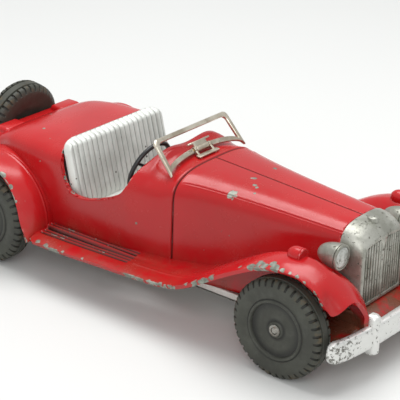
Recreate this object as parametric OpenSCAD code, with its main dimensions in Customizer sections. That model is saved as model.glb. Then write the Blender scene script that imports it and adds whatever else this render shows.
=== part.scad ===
// Open two-seat sports car toy, die cast, with a friction motor on the rear axle.
// Millimetres. The nose points to -Y, up is +Z, and z = 0 is the surface the wheels stand on.

/* [Wheels and axles] */
// Distance between the two axles
wheelbase = 156; // [154:0.5:157]
// Radius of a tyre
tyre_r = 20.7; // [20.5:0.1:20.8]
// Width of a tyre
tyre_w = 10.2; // [10:0.1:10.4]
// Distance from the middle of the car to the outer face of a tyre
wheel_out = 46.2; // [46:0.1:46.4]
// Radius of an axle
axle_r = 1.5; // [1.4:0.05:1.6]
// Radial clearance of a shaft that turns in its hole
running = 0.05; // [0.03:0.01:0.08]

/* [Body casting] */
// Thickness of the cast wall
wall = 2; // [1.8:0.1:2.2]
// Height of the bonnet at the scuttle
bonnet_z = 60; // [59.5:0.25:60.5]
// Height of the bonnet at the radiator
nose_z = 56.2; // [55.8:0.2:56.6]
// Height of the rear deck behind the seat
deck_z = 58.4; // [58:0.2:58.6]
// Half width of the body across the doors
door_w = 33.6; // [33.2:0.2:34]
// Distance from the middle of the car to the edge of a fender
fender_out = 46.5; // [46.3:0.1:46.6]

/* [Windscreen] */
// Height of the windscreen hinge
hinge_z = 62.3; // [62.2:0.1:62.5]
// Angle of the raised windscreen from the vertical
rake = 42; // [40:1:44]

/* [Friction motor] */
// Width of the flywheel
flywheel_w = 8.4; // [7:0.2:8.6]
// Teeth of the gear on the rear axle
axle_teeth = 26; // [24:1:26]
// Teeth of the large gear on the idler shaft
idler_teeth = 28; // [26:1:28]
// Radius of the flywheel
flywheel_r = 9.9; // [9:0.1:9.9]

/* [Hidden] */
$fn = 64;

red = "firebrick";
plated = "silver";
nickel = "darkkhaki";
steel = "lightsteelblue";
rubber = "dimgray";

rear_y = 77.5;
front_y = rear_y - wheelbase;
axle_z = tyre_r;
nose_y = -86;
scuttle_y = -12.5;
dash_y = 1.5;
seat_y = 42.5;
deck_end_y = 83.5;
tail_y = 94.5;
sill_z = 14.8;
base_z = 11;
base_t = 1.2;
base_w = 22;

// Points of one cross-section: [x, z] pairs, from the sill up one side, over and down the other.
function crown(w, zc, zt, n) = [for (a = [0:11.25:90])
    [w * pow(cos(a), 2 / n), zc + (zt - zc) * pow(sin(a), 2 / n)]];
function half_ring(s, t, drop) = concat([[s[1] - t, s[2] - drop]],
    crown(s[3] - t, s[4], s[5] - t, s[6]));
function ring(s, t, drop) = let(h = half_ring(s, t, drop), k = len(h))
    concat(h, [for (i = [k - 2:-1:0]) [-h[i][0], h[i][1]]]);
// The scuttle has a rounded hump in front of each seat.
function hump(s, x) = s[7] * pow(sin(180 * min(1, abs(x) / 27)), 2);

// Solid through cross-sections: ys rise, and a ring of [x, z] points goes from the left over the top.
module skin(ys, rings) {
    k = len(rings[0]);
    n = len(ys);
    points = [for (i = [0:n - 1], p = rings[i]) [p[0], ys[i], p[1]]];
    sides = [for (i = [0:n - 2], j = [0:k - 1])
        [i * k + j, i * k + (j + 1) % k, (i + 1) * k + (j + 1) % k, (i + 1) * k + j]];
    ends = [[for (j = [k - 1:-1:0]) j], [for (j = [0:k - 1]) (n - 1) * k + j]];
    polyhedron(points = points, faces = concat(sides, ends), convexity = 8);
}

// Body shape through a list of cross-sections.
// A cross-section: [y, sill half width, sill z, half width, z of it, top z, squareness, hump].
module loft(sections, t = 0, drop = 0) {
    skin([for (s = sections) s[0]],
        [for (s = sections) [for (p = ring(s, t, drop)) [p[0], p[1] + (p[1] > s[4] ? hump(s, p[0]) : 0)]]]);
}

// Draws a Y-Z outline as a slab between two values of x.
module slab(x0, x1) {
    translate([x0, 0, 0])
        rotate([90, 0, 90])
            linear_extrude(x1 - x0)
                children();
}

// A cylinder along X, centred on x.
module rod_x(r, x0, x1, y, z) {
    translate([x0, y, z])
        rotate([0, 90, 0])
            cylinder(r = r, h = x1 - x0);
}

module both_sides() {
    children();
    mirror([1, 0, 0]) children();
}

// Height of the straight bonnet along the middle.
function bonnet_top(y) = nose_z + (bonnet_z - nose_z) * (y - nose_y) / (scuttle_y - nose_y);
body_sections = [
    [nose_y, 15.6, sill_z, 15.6, 45, nose_z, 3.3, 0],
    [-60, 18.6, sill_z, 18.1, 45.4, bonnet_top(-60), 3.3, 0],
    [-40, 21.2, sill_z, 20.7, 45.7, bonnet_top(-40), 3.3, 0],
    [-20, 25, sill_z, 24.6, 46, bonnet_top(-20), 3.3, 0],
    [scuttle_y, 27.5, sill_z, 27.3, 46, bonnet_z, 3.2, 0],
    [-7, 28.4, sill_z, 28.6, 46, 60.1, 2.6, 0.2],
    [-2, 29, sill_z, 30, 46, 61, 2.5, 0.8],
    [dash_y, 29.3, sill_z, 31, 46, 62.4, 2.5, 1.9],
    [9, 30, sill_z, 32.8, 46, 62.6, 2.6, 1.4],
    [24, 30, sill_z, door_w, 46, 60.5, 3, 0],
    [seat_y, 30, sill_z, door_w, 46, deck_z, 4, 0],
    [62, 29.5, sill_z, 33, 46, deck_z - 0.2, 4, 0],
    [76, 28, sill_z, 30.6, 45.5, deck_z - 1.6, 4.4, 0],
    [deck_end_y, 26.5, sill_z, 28.2, 44, 54.2, 5, 0],
    [89, 25.5, sill_z, 27, 42, 51.2, 5, 0],
    [tail_y, 24.5, sill_z, 25.5, 40, 46.5, 5, 0]];
inner_sections = concat(
    [concat([nose_y + wall], [for (i = [1:7]) body_sections[0][i]])],
    [for (i = [1:len(body_sections) - 2]) body_sections[i]],
    [concat([tail_y - wall], [for (i = [1:7]) body_sections[len(body_sections) - 1][i]])]);

// Outline of the open cockpit seen from the side, from the scuttle round the door to the deck.
cockpit_cut = [[-1, 80], [1.5, 65.5], [4, 60.5], [7, 55], [8, 51.5], [10.5, 47.4], [14.5, 44.6],
    [19.5, 42.4], [25, 40.3], [30, 39], [34.5, 38.7], [38.5, 39.6], [41.5, 43], [43.2, 48.6],
    [44.2, 53.8], [43, 58.5], [43, 80]];

// Cross-sections of the front fender and running board, from the front to the rear:
// [y, inner edge x, z of it, outer edge x, z of it, z of the crown].
fender_sections = [
    [-105.5, 21.9, 26.6, 42, 33.4, 37.4],
    [-100, 18.5, 31.2, 44.4, 39.3, 42.6],
    [-94, 16.9, 35, 45.8, 43.9, 46.9],
    [-86.4, 16.4, 37.7, 46.4, 46.9, 49.8],
    [-84, 14.9, 38.2, fender_out, 47, 49.9],
    [-80, 15.2, 38.6, fender_out, 46.9, 49.8],
    [-73, 15.9, 39, fender_out, 45.7, 48.5],
    [-66, 16.5, 38.6, fender_out, 43.4, 45.9],
    [-59, 17.3, 37.4, fender_out, 40, 42],
    [-51, 18.4, 34.6, fender_out, 35.6, 37.1],
    [-42.5, 19.6, 30.6, fender_out, 30.5, 31.8],
    [-34, 21, 25.8, fender_out, 25.7, 26.7],
    [-27, 22.4, 23.6, fender_out, 22.9, 24.1],
    [-16, 25, 23.1, fender_out, 21.2, 22.7],
    [10, 27.6, 22.5, fender_out, 19.9, 21.5],
    [32, 28.4, 22.1, fender_out, 18.8, 20.7],
    [48.8, 28.9, 21.9, fender_out, 18.3, 20.4],
    [51, 29, 21.9, 43.2, 18.6, 20.4]];
fender_t = 1.9;
crown_x = 35.5;
valley_w = 6;
function eased(t) = t * t * (3 - 2 * t);
// The valley beside the bonnet narrows to nothing at the front tip.
function valley(s) = valley_w * min(1, (s[0] - fender_sections[0][0]) / 25);
// Height of the fender at x: it falls from the crown to a valley beside the bonnet, and to the outer edge.
function fender_z(s, x) = x < crown_x
    ? s[5] - (s[5] - s[2]) * eased(min(1, (crown_x - x) / (crown_x - s[1] - valley(s))))
    : s[5] - (s[5] - s[4]) * pow((x - crown_x) / (s[3] - crown_x), 2.4);
function fender_row(s) = concat(
    [for (v = [1, 0.9, 0.72, 0.4]) crown_x + v * (s[3] - crown_x)],
    [crown_x], [for (v = [0.25, 0.5, 0.75, 0.97]) crown_x - v * (crown_x - s[1] - valley(s))], [s[1]]);
function fender_ring(s) = let(xs = fender_row(s), k = len(xs)) concat(
    [for (x = xs) [x, fender_z(s, x)]],
    [for (i = [k - 1:-1:0]) [xs[i], fender_z(s, xs[i]) - fender_t]]);

tread_grooves = 5;
module front_fender() {
    difference() {
        skin([for (s = fender_sections) s[0]], [for (s = fender_sections) fender_ring(s)]);
        // Grooves along the running board.
        for (i = [0:tread_grooves - 1])
            slab(31 + 2 * i, 31.9 + 2 * i)
                polygon([[1, 21], [47.5, 19.7], [47.5, 26], [1, 26]]);
    }
}

rear_arch_r = 27.6;
rear_cone_x = 43.3;
rear_fender_z = 16.1;
module rear_fender() {
    difference() {
        union() {
            rod_x(rear_arch_r, 24, rear_cone_x, rear_y, axle_z);
            translate([rear_cone_x, rear_y, axle_z])
                rotate([0, 90, 0])
                    cylinder(r1 = rear_arch_r, r2 = 24.2, h = fender_out - rear_cone_x);
        }
        rod_x(rear_arch_r - 2, 20, 41, rear_y, axle_z);
        rod_x(22.2, 40, 60, rear_y, axle_z);
        translate([0, rear_y - 40, -20])
            cube([60, 80, 20 + rear_fender_z]);
    }
}

module side_lamp() {
    translate([36, -80.5, 50])
        rotate([90, 0, 0])
            rotate_extrude()
                polygon(concat([[0, -4.2]], [for (a = [-80:20:0]) [3.3 * cos(a), 4.2 * sin(a)]],
                    [[3.3, 3], [0, 3]]));
    translate([34.8, -82.5, 45.5])
        cube([2.4, 4.5, 3]);
}

// Petrol tank across the tail, with a raised pad at each end.
module tank() {
    translate([-25, 85, 44])
        cube([50, tail_y - 85, 7.2]);
    for (x = [-24, 11])
        translate([x, 84.6, 44])
            cube([13, 8, 10.6]);
}

post_spots = [[10, -40], [17.2, 50]];
module screw_posts() {
    for (p = post_spots)
        translate([p[0], p[1], base_z + base_t])
            difference() {
                cylinder(r = 2.8, h = 44);
                translate([0, 0, -1])
                    cylinder(r = 1.2, h = 13);
            }
}

// Lines cast into the outside: the bonnet joint along the middle and the scuttle joint across.
line_w = 0.7;
line_depth = 0.5;
module joint_lines() {
    slab(-line_w / 2, line_w / 2)
        polygon([[nose_y - 1, nose_z - line_depth], [scuttle_y, bonnet_z - line_depth],
            [scuttle_y, bonnet_z + 2], [nose_y - 1, bonnet_z + 2]]);
    difference() {
        translate([-32, scuttle_y - line_w / 2, 10])
            cube([64, line_w, 60]);
        loft(body_sections, line_depth, 6);
    }
}

// Apron between the radiator and the bumper, on a lower pan that reaches under the fenders.
module apron() {
    slab(-17, 17)
        polygon([[nose_y + 1, 15], [nose_y + 1, 22.6], [-97.2, 22.6], [-104, 19.6], [-104, 15]]);
    slab(-30, 30)
        polygon([[nose_y + 1.5, 15.6], [nose_y + 1.5, 18], [-98.8, 18], [-98.8, 15.6]]);
}

module body_shell() {
    difference() {
        loft(body_sections);
        joint_lines();
        difference() {
            loft(inner_sections, wall, 5);
            // Wall behind the instrument side of the scuttle, which holds the steering column.
            translate([-40, -1.5, 36])
                cube([80, 2, 40]);
        }
        slab(-50, 50)
            polygon(cockpit_cut);
        // Slot across the deck that the backrest stands in.
        translate([-31.4, 34, 36])
            cube([62.8, 12.6, 40]);
    }
}

// The steering column rises towards the driver, who sits on the right.
column_tilt = 18;
column_from = [-15, -4, 48.6];
module along_column() {
    translate(column_from)
        rotate([column_tilt - 90, 0, 0])
            children();
}

stud_from = [0, tail_y - 1, 43.4];
stud_tilt = 8.5;
module along_stud() {
    translate(stud_from)
        rotate([stud_tilt - 90, 0, 0])
            children();
}

// The axles drop into notches that are open below, where the base plate closes them.
notch_r = 2.1;
module axle_notches() {
    for (y = [front_y, rear_y])
        slab(-32, 32) {
            translate([y - notch_r, 0])
                square([2 * notch_r, axle_z]);
            translate([y, axle_z])
                circle(r = notch_r);
        }
}

module body_casting() {
    color(red)
        difference() {
            union() {
                body_shell();
                both_sides() {
                    difference() {
                        union() {
                            front_fender();
                            rear_fender();
                            side_lamp();
                        }
                        loft(inner_sections, wall - 0.5, 5);
                    }
                    intersection() {
                        screw_posts();
                        loft(inner_sections, wall - 0.5, 5);
                    }
                }
                tank();
                apron();
            }
            axle_notches();
            along_column()
                cylinder(r = 1.3, h = 12);
            along_stud()
                translate([0, 0, -6])
                    cylinder(r = 1.5, h = 12);
            both_sides()
                translate([ear_from + ear_w / 2, bracket_leg_y, 50])
                    cylinder(r = 0.8, h = 20);
        }
}

grille_sections = [
    [-96.4, 15, 22.8, 14.6, 43, 51, 3.6, 0],
    [-94, 15.3, 22.8, 15.3, 44, 53.8, 3.4, 0],
    [-90, 15.6, 22.8, 15.8, 45, 55.8, 3.3, 0],
    [nose_y - 0.1, 15.6, 22.8, 15.9, 45, nose_z + 0.3, 3.3, 0]];
lamp_x = 22.7;
lamp_z = 47.6;
lamp_y = -90.9;
module headlamp() {
    translate([lamp_x, lamp_y, lamp_z])
        rotate([90, 0, 0])
            rotate_extrude()
                polygon(concat([[0, -9.6]], [for (a = [-75:15:0]) [5.3 * cos(a), 9.6 * sin(a)]],
                    [[5.3, 0.6], [4.4, 1.4], [0, 1.8]]));
    rod_x(1.5, 14, lamp_x, -87.6, 46.4);
}

module radiator_grille() {
    slats = 7;
    color(plated) {
        difference() {
            loft(grille_sections);
            for (side = [-1, 1])
                translate([side * 7.2 - 6.2, -98, 24.6])
                    cube([12.4, 3.1, 23.4]);
        }
        both_sides() {
            for (i = [0:slats - 1])
                translate([1.6 + i * 1.74, -96.2, 24.4])
                    cube([0.9, 2, 23.8]);
            headlamp();
        }
        translate([0, -90.4, 54.6])
            cylinder(r = 2.3, h = 2.4);
    }
}

bumper_end = [44.2, -101.6];
module front_bumper() {
    color(plated) {
        translate([0, 0, 13.2])
            linear_extrude(9.6)
                both_sides()
                    polygon([[-0.1, -108.6], [16, -108.2], [30, -107], [38, -105.6], [42.6, -103.8],
                        bumper_end, [42.4, -100.6], [37, -102.2], [29, -103.4], [16, -104.1],
                        [-0.1, -104.1]]);
        both_sides()
            translate([19, -106.6, 9.8])
                intersection() {
                    cylinder(r = 3.2, h = 17);
                    translate([-2.6, -2.3, 0])
                        cube([5.2, 4.7, 17]);
                }
    }
}

hinge_y = -5;
screen_t = 1.4;
// Places a flat shape, drawn with its hinge at the origin, in the raked plane of the windscreen.
module in_windscreen_plane() {
    translate([0, hinge_y, hinge_z])
        rotate([90 - rake, 0, 0])
            translate([0, 0, -screen_t / 2])
                linear_extrude(screen_t)
                    children();
}

screen_w = 24.6;
screen_foot = -6.4;
screen_top = 10.4;
screen_bar = 2.1;
knuckle_r = 1.35;
knuckle_w = 3.9;
ear_w = 1.2;
function arch(w, low, high) = [for (a = [-90:18:90]) [w * sin(a), low + (high - low) * cos(a)]];
// Outline of the frame, or of its opening when inset by the width of a bar.
module screen_outline(inset, foot, crest) {
    top = screen_top - inset;
    side = screen_w - 1 - inset;
    corner = 2.4 - inset / 3;
    polygon(concat(arch(screen_w - inset, foot, crest), [[side, top - corner], [side - corner, top],
        [corner - side, top], [-side, top - corner]]));
}

module windscreen_frame() {
    notch_w = ear_w + 0.9;
    color(nickel)
        difference() {
            union() {
                in_windscreen_plane()
                    difference() {
                        union() {
                            difference() {
                                screen_outline(0, screen_foot, -1.1);
                                screen_outline(screen_bar, screen_foot + 3.2, 1.2);
                            }
                            translate([-7, -0.9])
                                square([14, 4.3]);
                        }
                        for (x = [-knuckle_w - 0.1 - notch_w, knuckle_w + 0.1])
                            translate([x, -3])
                                square([notch_w, 5.6]);
                    }
                rod_x(knuckle_r, -knuckle_w, knuckle_w, hinge_y, hinge_z);
            }
            rod_x(pin_r + running, -8, 8, hinge_y, hinge_z);
        }
}

pin_r = 0.7;
ear_from = knuckle_w + 0.3;
pad_z = 60.45;
pad_t = 0.75;
bracket_leg_y = -8.6;
module windscreen_bracket() {
    color(nickel)
        difference() {
            union() {
                both_sides() {
                    rod_x(knuckle_r, ear_from, ear_from + ear_w, hinge_y, hinge_z);
                    // Ear that stands up from the pad and carries the knuckle.
                    slab(ear_from, ear_from + ear_w)
                        polygon([[hinge_y - 3, pad_z], [hinge_y - 1.6, pad_z],
                            [hinge_y - 0.5, hinge_z - 1.2], [hinge_y, hinge_z],
                            [hinge_y - 1.2, hinge_z + 0.2],
                            [hinge_y - 3, pad_z + pad_t]]);
                    translate([ear_from + ear_w / 2, bracket_leg_y, 52])
                        cylinder(r = 0.75, h = pad_z - 51.8);
                }
                translate([-6.6, -9.8, pad_z])
                    cube([13.2, 2.4, pad_t]);
            }
            rod_x(pin_r, -8, 8, hinge_y, hinge_z);
        }
}

module windscreen_pin() {
    color(steel)
        rod_x(pin_r, -5.8, 5.8, hinge_y, hinge_z);
}

seat_tilt = 14;
seat_top = [0, 42.9, 61];
back_h = 30;
seat_w = 30.8;
seat_foot_w = 28.8;
module seat() {
    ribs = 19;
    rib_gap = 2 * (seat_foot_w - 0.4) / ribs;
    color(plated) {
        translate(seat_top)
            rotate([-seat_tilt, 0, 0])
                translate([0, 0, -back_h]) {
                    rotate([90, 0, 0])
                        translate([0, 0, -2.6])
                            linear_extrude(2.6)
                                polygon([[-seat_foot_w, 0], [seat_foot_w, 0], [seat_w, 12], [seat_w, 25],
                                    [seat_w - 1, 27.8], [seat_w - 3.4, 29.4], [seat_w - 6, back_h],
                                    [6 - seat_w, back_h], [3.4 - seat_w, 29.4], [1 - seat_w, 27.8],
                                    [-seat_w, 25], [-seat_w, 12]]);
                    for (i = [0:ribs - 1])
                        translate([(i - (ribs - 1) / 2) * rib_gap, 0, 0])
                            cylinder(r = rib_gap / 2 - 0.1, h = back_h - 1.6);
                }
        // Bench and the panel below its front edge, in one piece with the backrest.
        translate([-28, 16, 29])
            cube([56, 21, 3.4]);
        translate([-20, 16, base_z + base_t + 0.1])
            cube([40, 2, 18]);
    }
}

wheel_ring_r = 11.9;
module steering_wheel() {
    color("dimgray")
        along_column()
            translate([0, 0, 15.2]) {
                rotate_extrude()
                    translate([wheel_ring_r, 0])
                        circle(r = 1, $fn = 24);
                difference() {
                    union() {
                        cylinder(r = 2.6, h = 3, center = true);
                        for (a = [90, 210, 330])
                            rotate([0, 0, a])
                                translate([0, -0.8, -0.6])
                                    cube([wheel_ring_r, 1.6, 1.2]);
                    }
                    cylinder(r = 1.2, h = 6, center = true);
                }
            }
}

module steering_column() {
    color(steel)
        along_column() {
            translate([0, 0, 0.4])
                cylinder(r = 1.2, h = 16.8);
            translate([0, 0, 16.75])
                cylinder(r = 1.9, h = 0.7);
        }
}

module column_clip() {
    color(steel)
        along_column()
            translate([0, 0, 0.8])
                difference() {
                    cylinder(r = 2.6, h = 0.6);
                    translate([0, 0, -1])
                        cylinder(r = 1.2, h = 3);
                }
}

ear_x = 19.2;
ear_t = 1.6;
base_front_y = -95;
base_rear_y = 90;
module base_plate() {
    color(steel)
        difference() {
            union() {
                translate([-base_w, base_front_y, base_z])
                    cube([2 * base_w, base_rear_y - base_front_y, base_t]);
                both_sides() {
                    translate([base_w - 1, base_front_y, base_z])
                        cube([1, base_rear_y - base_front_y, sill_z - base_z - 0.2]);
                    for (y = [front_y, rear_y])
                        slab(ear_x, ear_x + ear_t)
                            union() {
                                translate([y - 4, base_z])
                                    square([8, axle_z - base_z]);
                                translate([y, axle_z])
                                    circle(r = 4);
                            }
                }
            }
            for (y = [front_y, rear_y])
                rod_x(axle_r + running, -30, 30, y, axle_z);
            both_sides()
                for (p = post_spots)
                    translate([p[0], p[1], base_z - 0.01])
                        cylinder(r1 = 2.5, r2 = 1.3, h = base_t + 0.02);
        }
}

module base_screws() {
    color(steel)
        both_sides()
            for (p = post_spots)
                translate([p[0], p[1], base_z])
                    difference() {
                        union() {
                            cylinder(r1 = 2.45, r2 = 1.15, h = base_t);
                            cylinder(r = 1.15, h = 11);
                        }
                        translate([-3, -0.25, -1])
                            cube([6, 0.5, 1.5]);
                    }
}

axle_end = 45.9;
module front_axle() {
    color(steel)
        rod_x(axle_r, -axle_end, axle_end, front_y, axle_z);
}

module rear_axle() {
    color(steel)
        rod_x(axle_r, -axle_end, axle_end, rear_y, axle_z);
}

// Outline of the tread from the inner face to the outer face, with two grooves: [distance, radius].
groove_r = tyre_r - 0.9;
tread = [[0, 18.4], [0.7, 19.6], [1.5, tyre_r - 0.3], [2.9, tyre_r], [3, groove_r], [3.5, groove_r],
    [3.6, tyre_r], [6.6, tyre_r], [6.7, groove_r], [7.2, groove_r], [7.3, tyre_r],
    [8.7, tyre_r - 0.3], [9.5, 19.6], [tyre_w, 18.4]];
module wheel(bore) {
    rotate_extrude()
        polygon(concat([[bore, 1], [9, 1], [11, 0], [17, 0]], [for (p = tread) [p[1], p[0]]],
            [[13.2, tyre_w - 0.6], [12.2, tyre_w], [11.2, tyre_w], [10.8, tyre_w - 1.4], [3.6, tyre_w - 1.5],
            [3.2, tyre_w - 0.8], [bore, tyre_w - 0.8]]));
}

// Places a wheel with its outer face towards +X.
module road_wheel(y, bore) {
    color(rubber)
        translate([wheel_out - tyre_w, y, axle_z])
            rotate([0, 90, 0])
                wheel(bore);
}

// The front wheels turn on their axle, and the rear wheels are pressed onto theirs.
module front_wheel_left() {
    road_wheel(front_y, axle_r + running);
}

module front_wheel_right() {
    mirror([1, 0, 0]) front_wheel_left();
}

module rear_wheel_left() {
    road_wheel(rear_y, axle_r);
}

module rear_wheel_right() {
    mirror([1, 0, 0]) rear_wheel_left();
}

module axle_caps(y) {
    color(steel)
        both_sides()
            difference() {
                rod_x(2.5, wheel_out - 0.75, wheel_out - 0.15, y, axle_z);
                rod_x(axle_r, wheel_out - 3, wheel_out + 3, y, axle_z);
            }
}

module front_axle_caps() {
    axle_caps(front_y);
}

module rear_axle_caps() {
    axle_caps(rear_y);
}

spare_gap = 2.6;
module spare_wheel() {
    color(rubber)
        along_stud()
            translate([0, 0, spare_gap])
                wheel(axle_r + running);
}

module spare_stud() {
    color(steel)
        along_stud() {
            translate([0, 0, -4])
                cylinder(r = axle_r, h = 4 + spare_gap + tyre_w - 0.3);
            translate([0, 0, spare_gap + tyre_w - 0.7])
                cylinder(r = 2.9, h = 0.7);
            translate([0, 0, 1.7])
                cylinder(r = 3.4, h = spare_gap - 1.75);
        }
}

// Friction motor: axle gear -> idler pinion, idler gear -> flywheel pinion.
// Directions are angles in the Y-Z plane from one shaft to the next.
gear_m = 0.6;
pinion_teeth = 10;
idler_gap = gear_m * (axle_teeth + pinion_teeth) / 2;
flywheel_gap = gear_m * (idler_teeth + pinion_teeth) / 2;
idler_dir = 110;
flywheel_dir = 165;
idler_at = [rear_y + idler_gap * cos(idler_dir), axle_z + idler_gap * sin(idler_dir)];
flywheel_at = [idler_at[0] + flywheel_gap * cos(flywheel_dir),
    idler_at[1] + flywheel_gap * sin(flywheel_dir)];
motor_w = 12;
shaft_r = 1;
pressure = 20;
shift = 0.4;
backlash = 0.06;

function inv(a) = tan(a) * 180 / PI - a;
// One side of an involute tooth: angle from the tooth's middle at radius r.
function flank(n, x, r) = let(base = gear_m * n / 2 * cos(pressure), a = r > base ? acos(base / r) : 0)
    90 / n + (2 * x * tan(pressure) - backlash / gear_m) / n * 180 / PI + inv(pressure) - inv(a);
function tooth(n, x) = let(
        root = gear_m * (n / 2 - 1.2 + x), tip = gear_m * (n / 2 + 0.92 + x),
        low = max(root, gear_m * n / 2 * cos(pressure)),
        side = concat([[root, flank(n, x, low)]],
            [for (i = [0:4]) let(r = low + (tip - low) * i / 4) [r, flank(n, x, r)]]))
    concat([for (i = [0:5]) [side[i][0], -side[i][1]]], [for (i = [5:-1:0]) side[i]]);
module gear(n, x, h, bore, turn) {
    linear_extrude(h)
        rotate(turn)
            difference() {
                polygon([for (k = [0:n - 1], p = tooth(n, x))
                    p[0] * [cos(k * 360 / n + p[1]), sin(k * 360 / n + p[1])]]);
                circle(r = bore);
            }
}

// Places a gear, drawn flat, on a shaft at a point of the Y-Z plane.
module on_shaft(x, at) {
    translate([x, at[0], at[1]])
        rotate([90, 0, 90])
            children();
}

axle_gear_x = 6.4;
idler_gear_x = -8.2;
gear_t = 2.2;
module axle_gear() {
    color("goldenrod")
        on_shaft(axle_gear_x, [rear_y, axle_z])
            gear(axle_teeth, -shift, gear_t, axle_r, idler_dir);
}

module idler_pinion() {
    color("goldenrod")
        on_shaft(axle_gear_x - 0.2, idler_at)
            gear(pinion_teeth, shift, gear_t + 0.4, shaft_r, idler_dir + 180 + 180 / pinion_teeth);
}

module idler_gear() {
    color("goldenrod")
        on_shaft(idler_gear_x, idler_at)
            gear(idler_teeth, -shift, gear_t, shaft_r, flywheel_dir);
}

module flywheel_pinion() {
    color("goldenrod")
        on_shaft(idler_gear_x - 0.2, flywheel_at)
            gear(pinion_teeth, shift, gear_t + 0.4, shaft_r, flywheel_dir + 180 + 180 / pinion_teeth);
}

module idler_shaft() {
    color(steel)
        rod_x(shaft_r, -motor_w - 1.8, motor_w + 1.8, idler_at[0], idler_at[1]);
}

module flywheel_shaft() {
    color(steel)
        rod_x(shaft_r, -motor_w - 1.8, motor_w + 1.8, flywheel_at[0], flywheel_at[1]);
}

module flywheel() {
    color("slategray")
        on_shaft(-4.6, flywheel_at)
            rotate_extrude()
                polygon([[shaft_r, 0], [3, 0], [3, 1.2], [6.6, 1.2], [6.6, 0], [flywheel_r - 0.5, 0],
                    [flywheel_r, 0.5], [flywheel_r, flywheel_w - 0.5], [flywheel_r - 0.5, flywheel_w],
                    [6.6, flywheel_w], [6.6, flywheel_w - 1.2], [3, flywheel_w - 1.2], [3, flywheel_w],
                    [shaft_r, flywheel_w]]);
}

motor_outline = [[50, base_z + base_t], [89.5, base_z + base_t], [89.5, 37], [84, 41.5], [74, 46.5],
    [58, 46.5], [50, 38]];
post_at = [[54, 17], [85.5, 34.5], [72.2, 43.2]];
module motor_plate() {
    difference() {
        slab(motor_w, motor_w + 1)
            polygon(motor_outline);
        rod_x(axle_r + running, 0, 20, rear_y, axle_z);
        for (p = [idler_at, flywheel_at])
            rod_x(shaft_r + running, 0, 20, p[0], p[1]);
        for (p = post_at)
            rod_x(0.9, 0, 20, p[0], p[1]);
    }
}

module motor_plate_left() {
    color(steel) motor_plate();
}

module motor_plate_right() {
    color(steel) mirror([1, 0, 0]) motor_plate();
}

module motor_posts() {
    color(steel)
        for (p = post_at) {
            rod_x(1.6, -motor_w, motor_w, p[0], p[1]);
            rod_x(0.9, -motor_w - 1.6, motor_w + 1.6, p[0], p[1]);
        }
}

body_casting();
radiator_grille();
front_bumper();
windscreen_frame();
windscreen_bracket();
windscreen_pin();
seat();
steering_wheel();
steering_column();
column_clip();
base_plate();
base_screws();
front_axle();
rear_axle();
front_wheel_left();
front_wheel_right();
rear_wheel_left();
rear_wheel_right();
front_axle_caps();
rear_axle_caps();
spare_wheel();
spare_stud();
motor_plate_left();
motor_plate_right();
motor_posts();
axle_gear();
idler_shaft();
idler_gear();
idler_pinion();
flywheel();
flywheel_shaft();
flywheel_pinion();
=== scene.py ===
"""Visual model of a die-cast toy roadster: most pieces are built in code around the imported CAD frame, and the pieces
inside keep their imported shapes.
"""

import math

import bpy
import bmesh
import numpy as np
from mathutils import Matrix, Vector


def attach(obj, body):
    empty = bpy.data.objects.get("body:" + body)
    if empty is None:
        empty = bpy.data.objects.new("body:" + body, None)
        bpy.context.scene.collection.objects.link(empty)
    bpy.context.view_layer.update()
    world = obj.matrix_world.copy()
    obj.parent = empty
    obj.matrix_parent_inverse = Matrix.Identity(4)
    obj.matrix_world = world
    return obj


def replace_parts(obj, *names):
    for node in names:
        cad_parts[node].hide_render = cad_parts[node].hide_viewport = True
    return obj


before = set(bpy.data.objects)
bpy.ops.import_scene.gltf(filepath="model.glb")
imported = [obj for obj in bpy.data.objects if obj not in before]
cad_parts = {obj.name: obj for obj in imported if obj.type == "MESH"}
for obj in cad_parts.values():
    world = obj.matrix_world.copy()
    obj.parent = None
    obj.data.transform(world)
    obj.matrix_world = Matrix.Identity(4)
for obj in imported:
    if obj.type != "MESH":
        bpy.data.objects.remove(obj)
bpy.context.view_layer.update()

MM = 0.001


# ---- mesh helpers

def spline(xs, ys):
    """Monotone cubic curve through points, as a function of numpy arrays or numbers."""
    xs = np.asarray(xs, float)
    ys = np.asarray(ys, float)
    h = np.diff(xs)
    d = np.diff(ys) / h
    m = np.zeros_like(ys)
    m[0], m[-1] = d[0], d[-1]
    for i in range(1, len(xs) - 1):
        if d[i - 1] * d[i] > 0:
            a, b = 2 * h[i] + h[i - 1], h[i] + 2 * h[i - 1]
            m[i] = (a + b) / (a / d[i - 1] + b / d[i])

    def value(x):
        x = np.clip(x, xs[0], xs[-1])
        i = np.clip(np.searchsorted(xs, x) - 1, 0, len(h) - 1)
        t = (x - xs[i]) / h[i]
        t2, t3 = t * t, t * t * t
        return ((2 * t3 - 3 * t2 + 1) * ys[i] + (t3 - 2 * t2 + t) * h[i] * m[i]
                + (3 * t2 - 2 * t3) * ys[i + 1] + (t3 - t2) * h[i] * m[i + 1])

    return value


def smooth(t):
    """Eases 0 to 1."""
    t = np.clip(t, 0, 1)
    return t * t * (3 - 2 * t)


def spans(*parts):
    """Evenly spaced numbers over one (first, last, count) stretch after another; a list is taken as it is."""
    return np.concatenate([np.linspace(*part) if isinstance(part, tuple) else part for part in parts])


def xyz(x, y, z):
    """Rows of points; a single number stands for all of them."""
    return np.stack(np.broadcast_arrays(x, y, z), 1)


def circle(count):
    return np.linspace(0, 2 * math.pi, count, endpoint=False)


def arc(x, y, radius, first, last, count):
    """Points on an arc between two angles in radians."""
    return [(x + radius * math.cos(a), y + radius * math.sin(a)) for a in np.linspace(first, last, count)]


def grid_faces(rows, cols, keep=None, wrap=False):
    """Quads of a grid whose points are numbered row by row."""
    faces = []
    for i in range(rows - 1):
        for j in range(cols if wrap else cols - 1):
            if keep is None or keep(i, j):
                k = (j + 1) % cols
                faces.append((i * cols + j, i * cols + k, (i + 1) * cols + k, (i + 1) * cols + j))
    return faces


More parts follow.
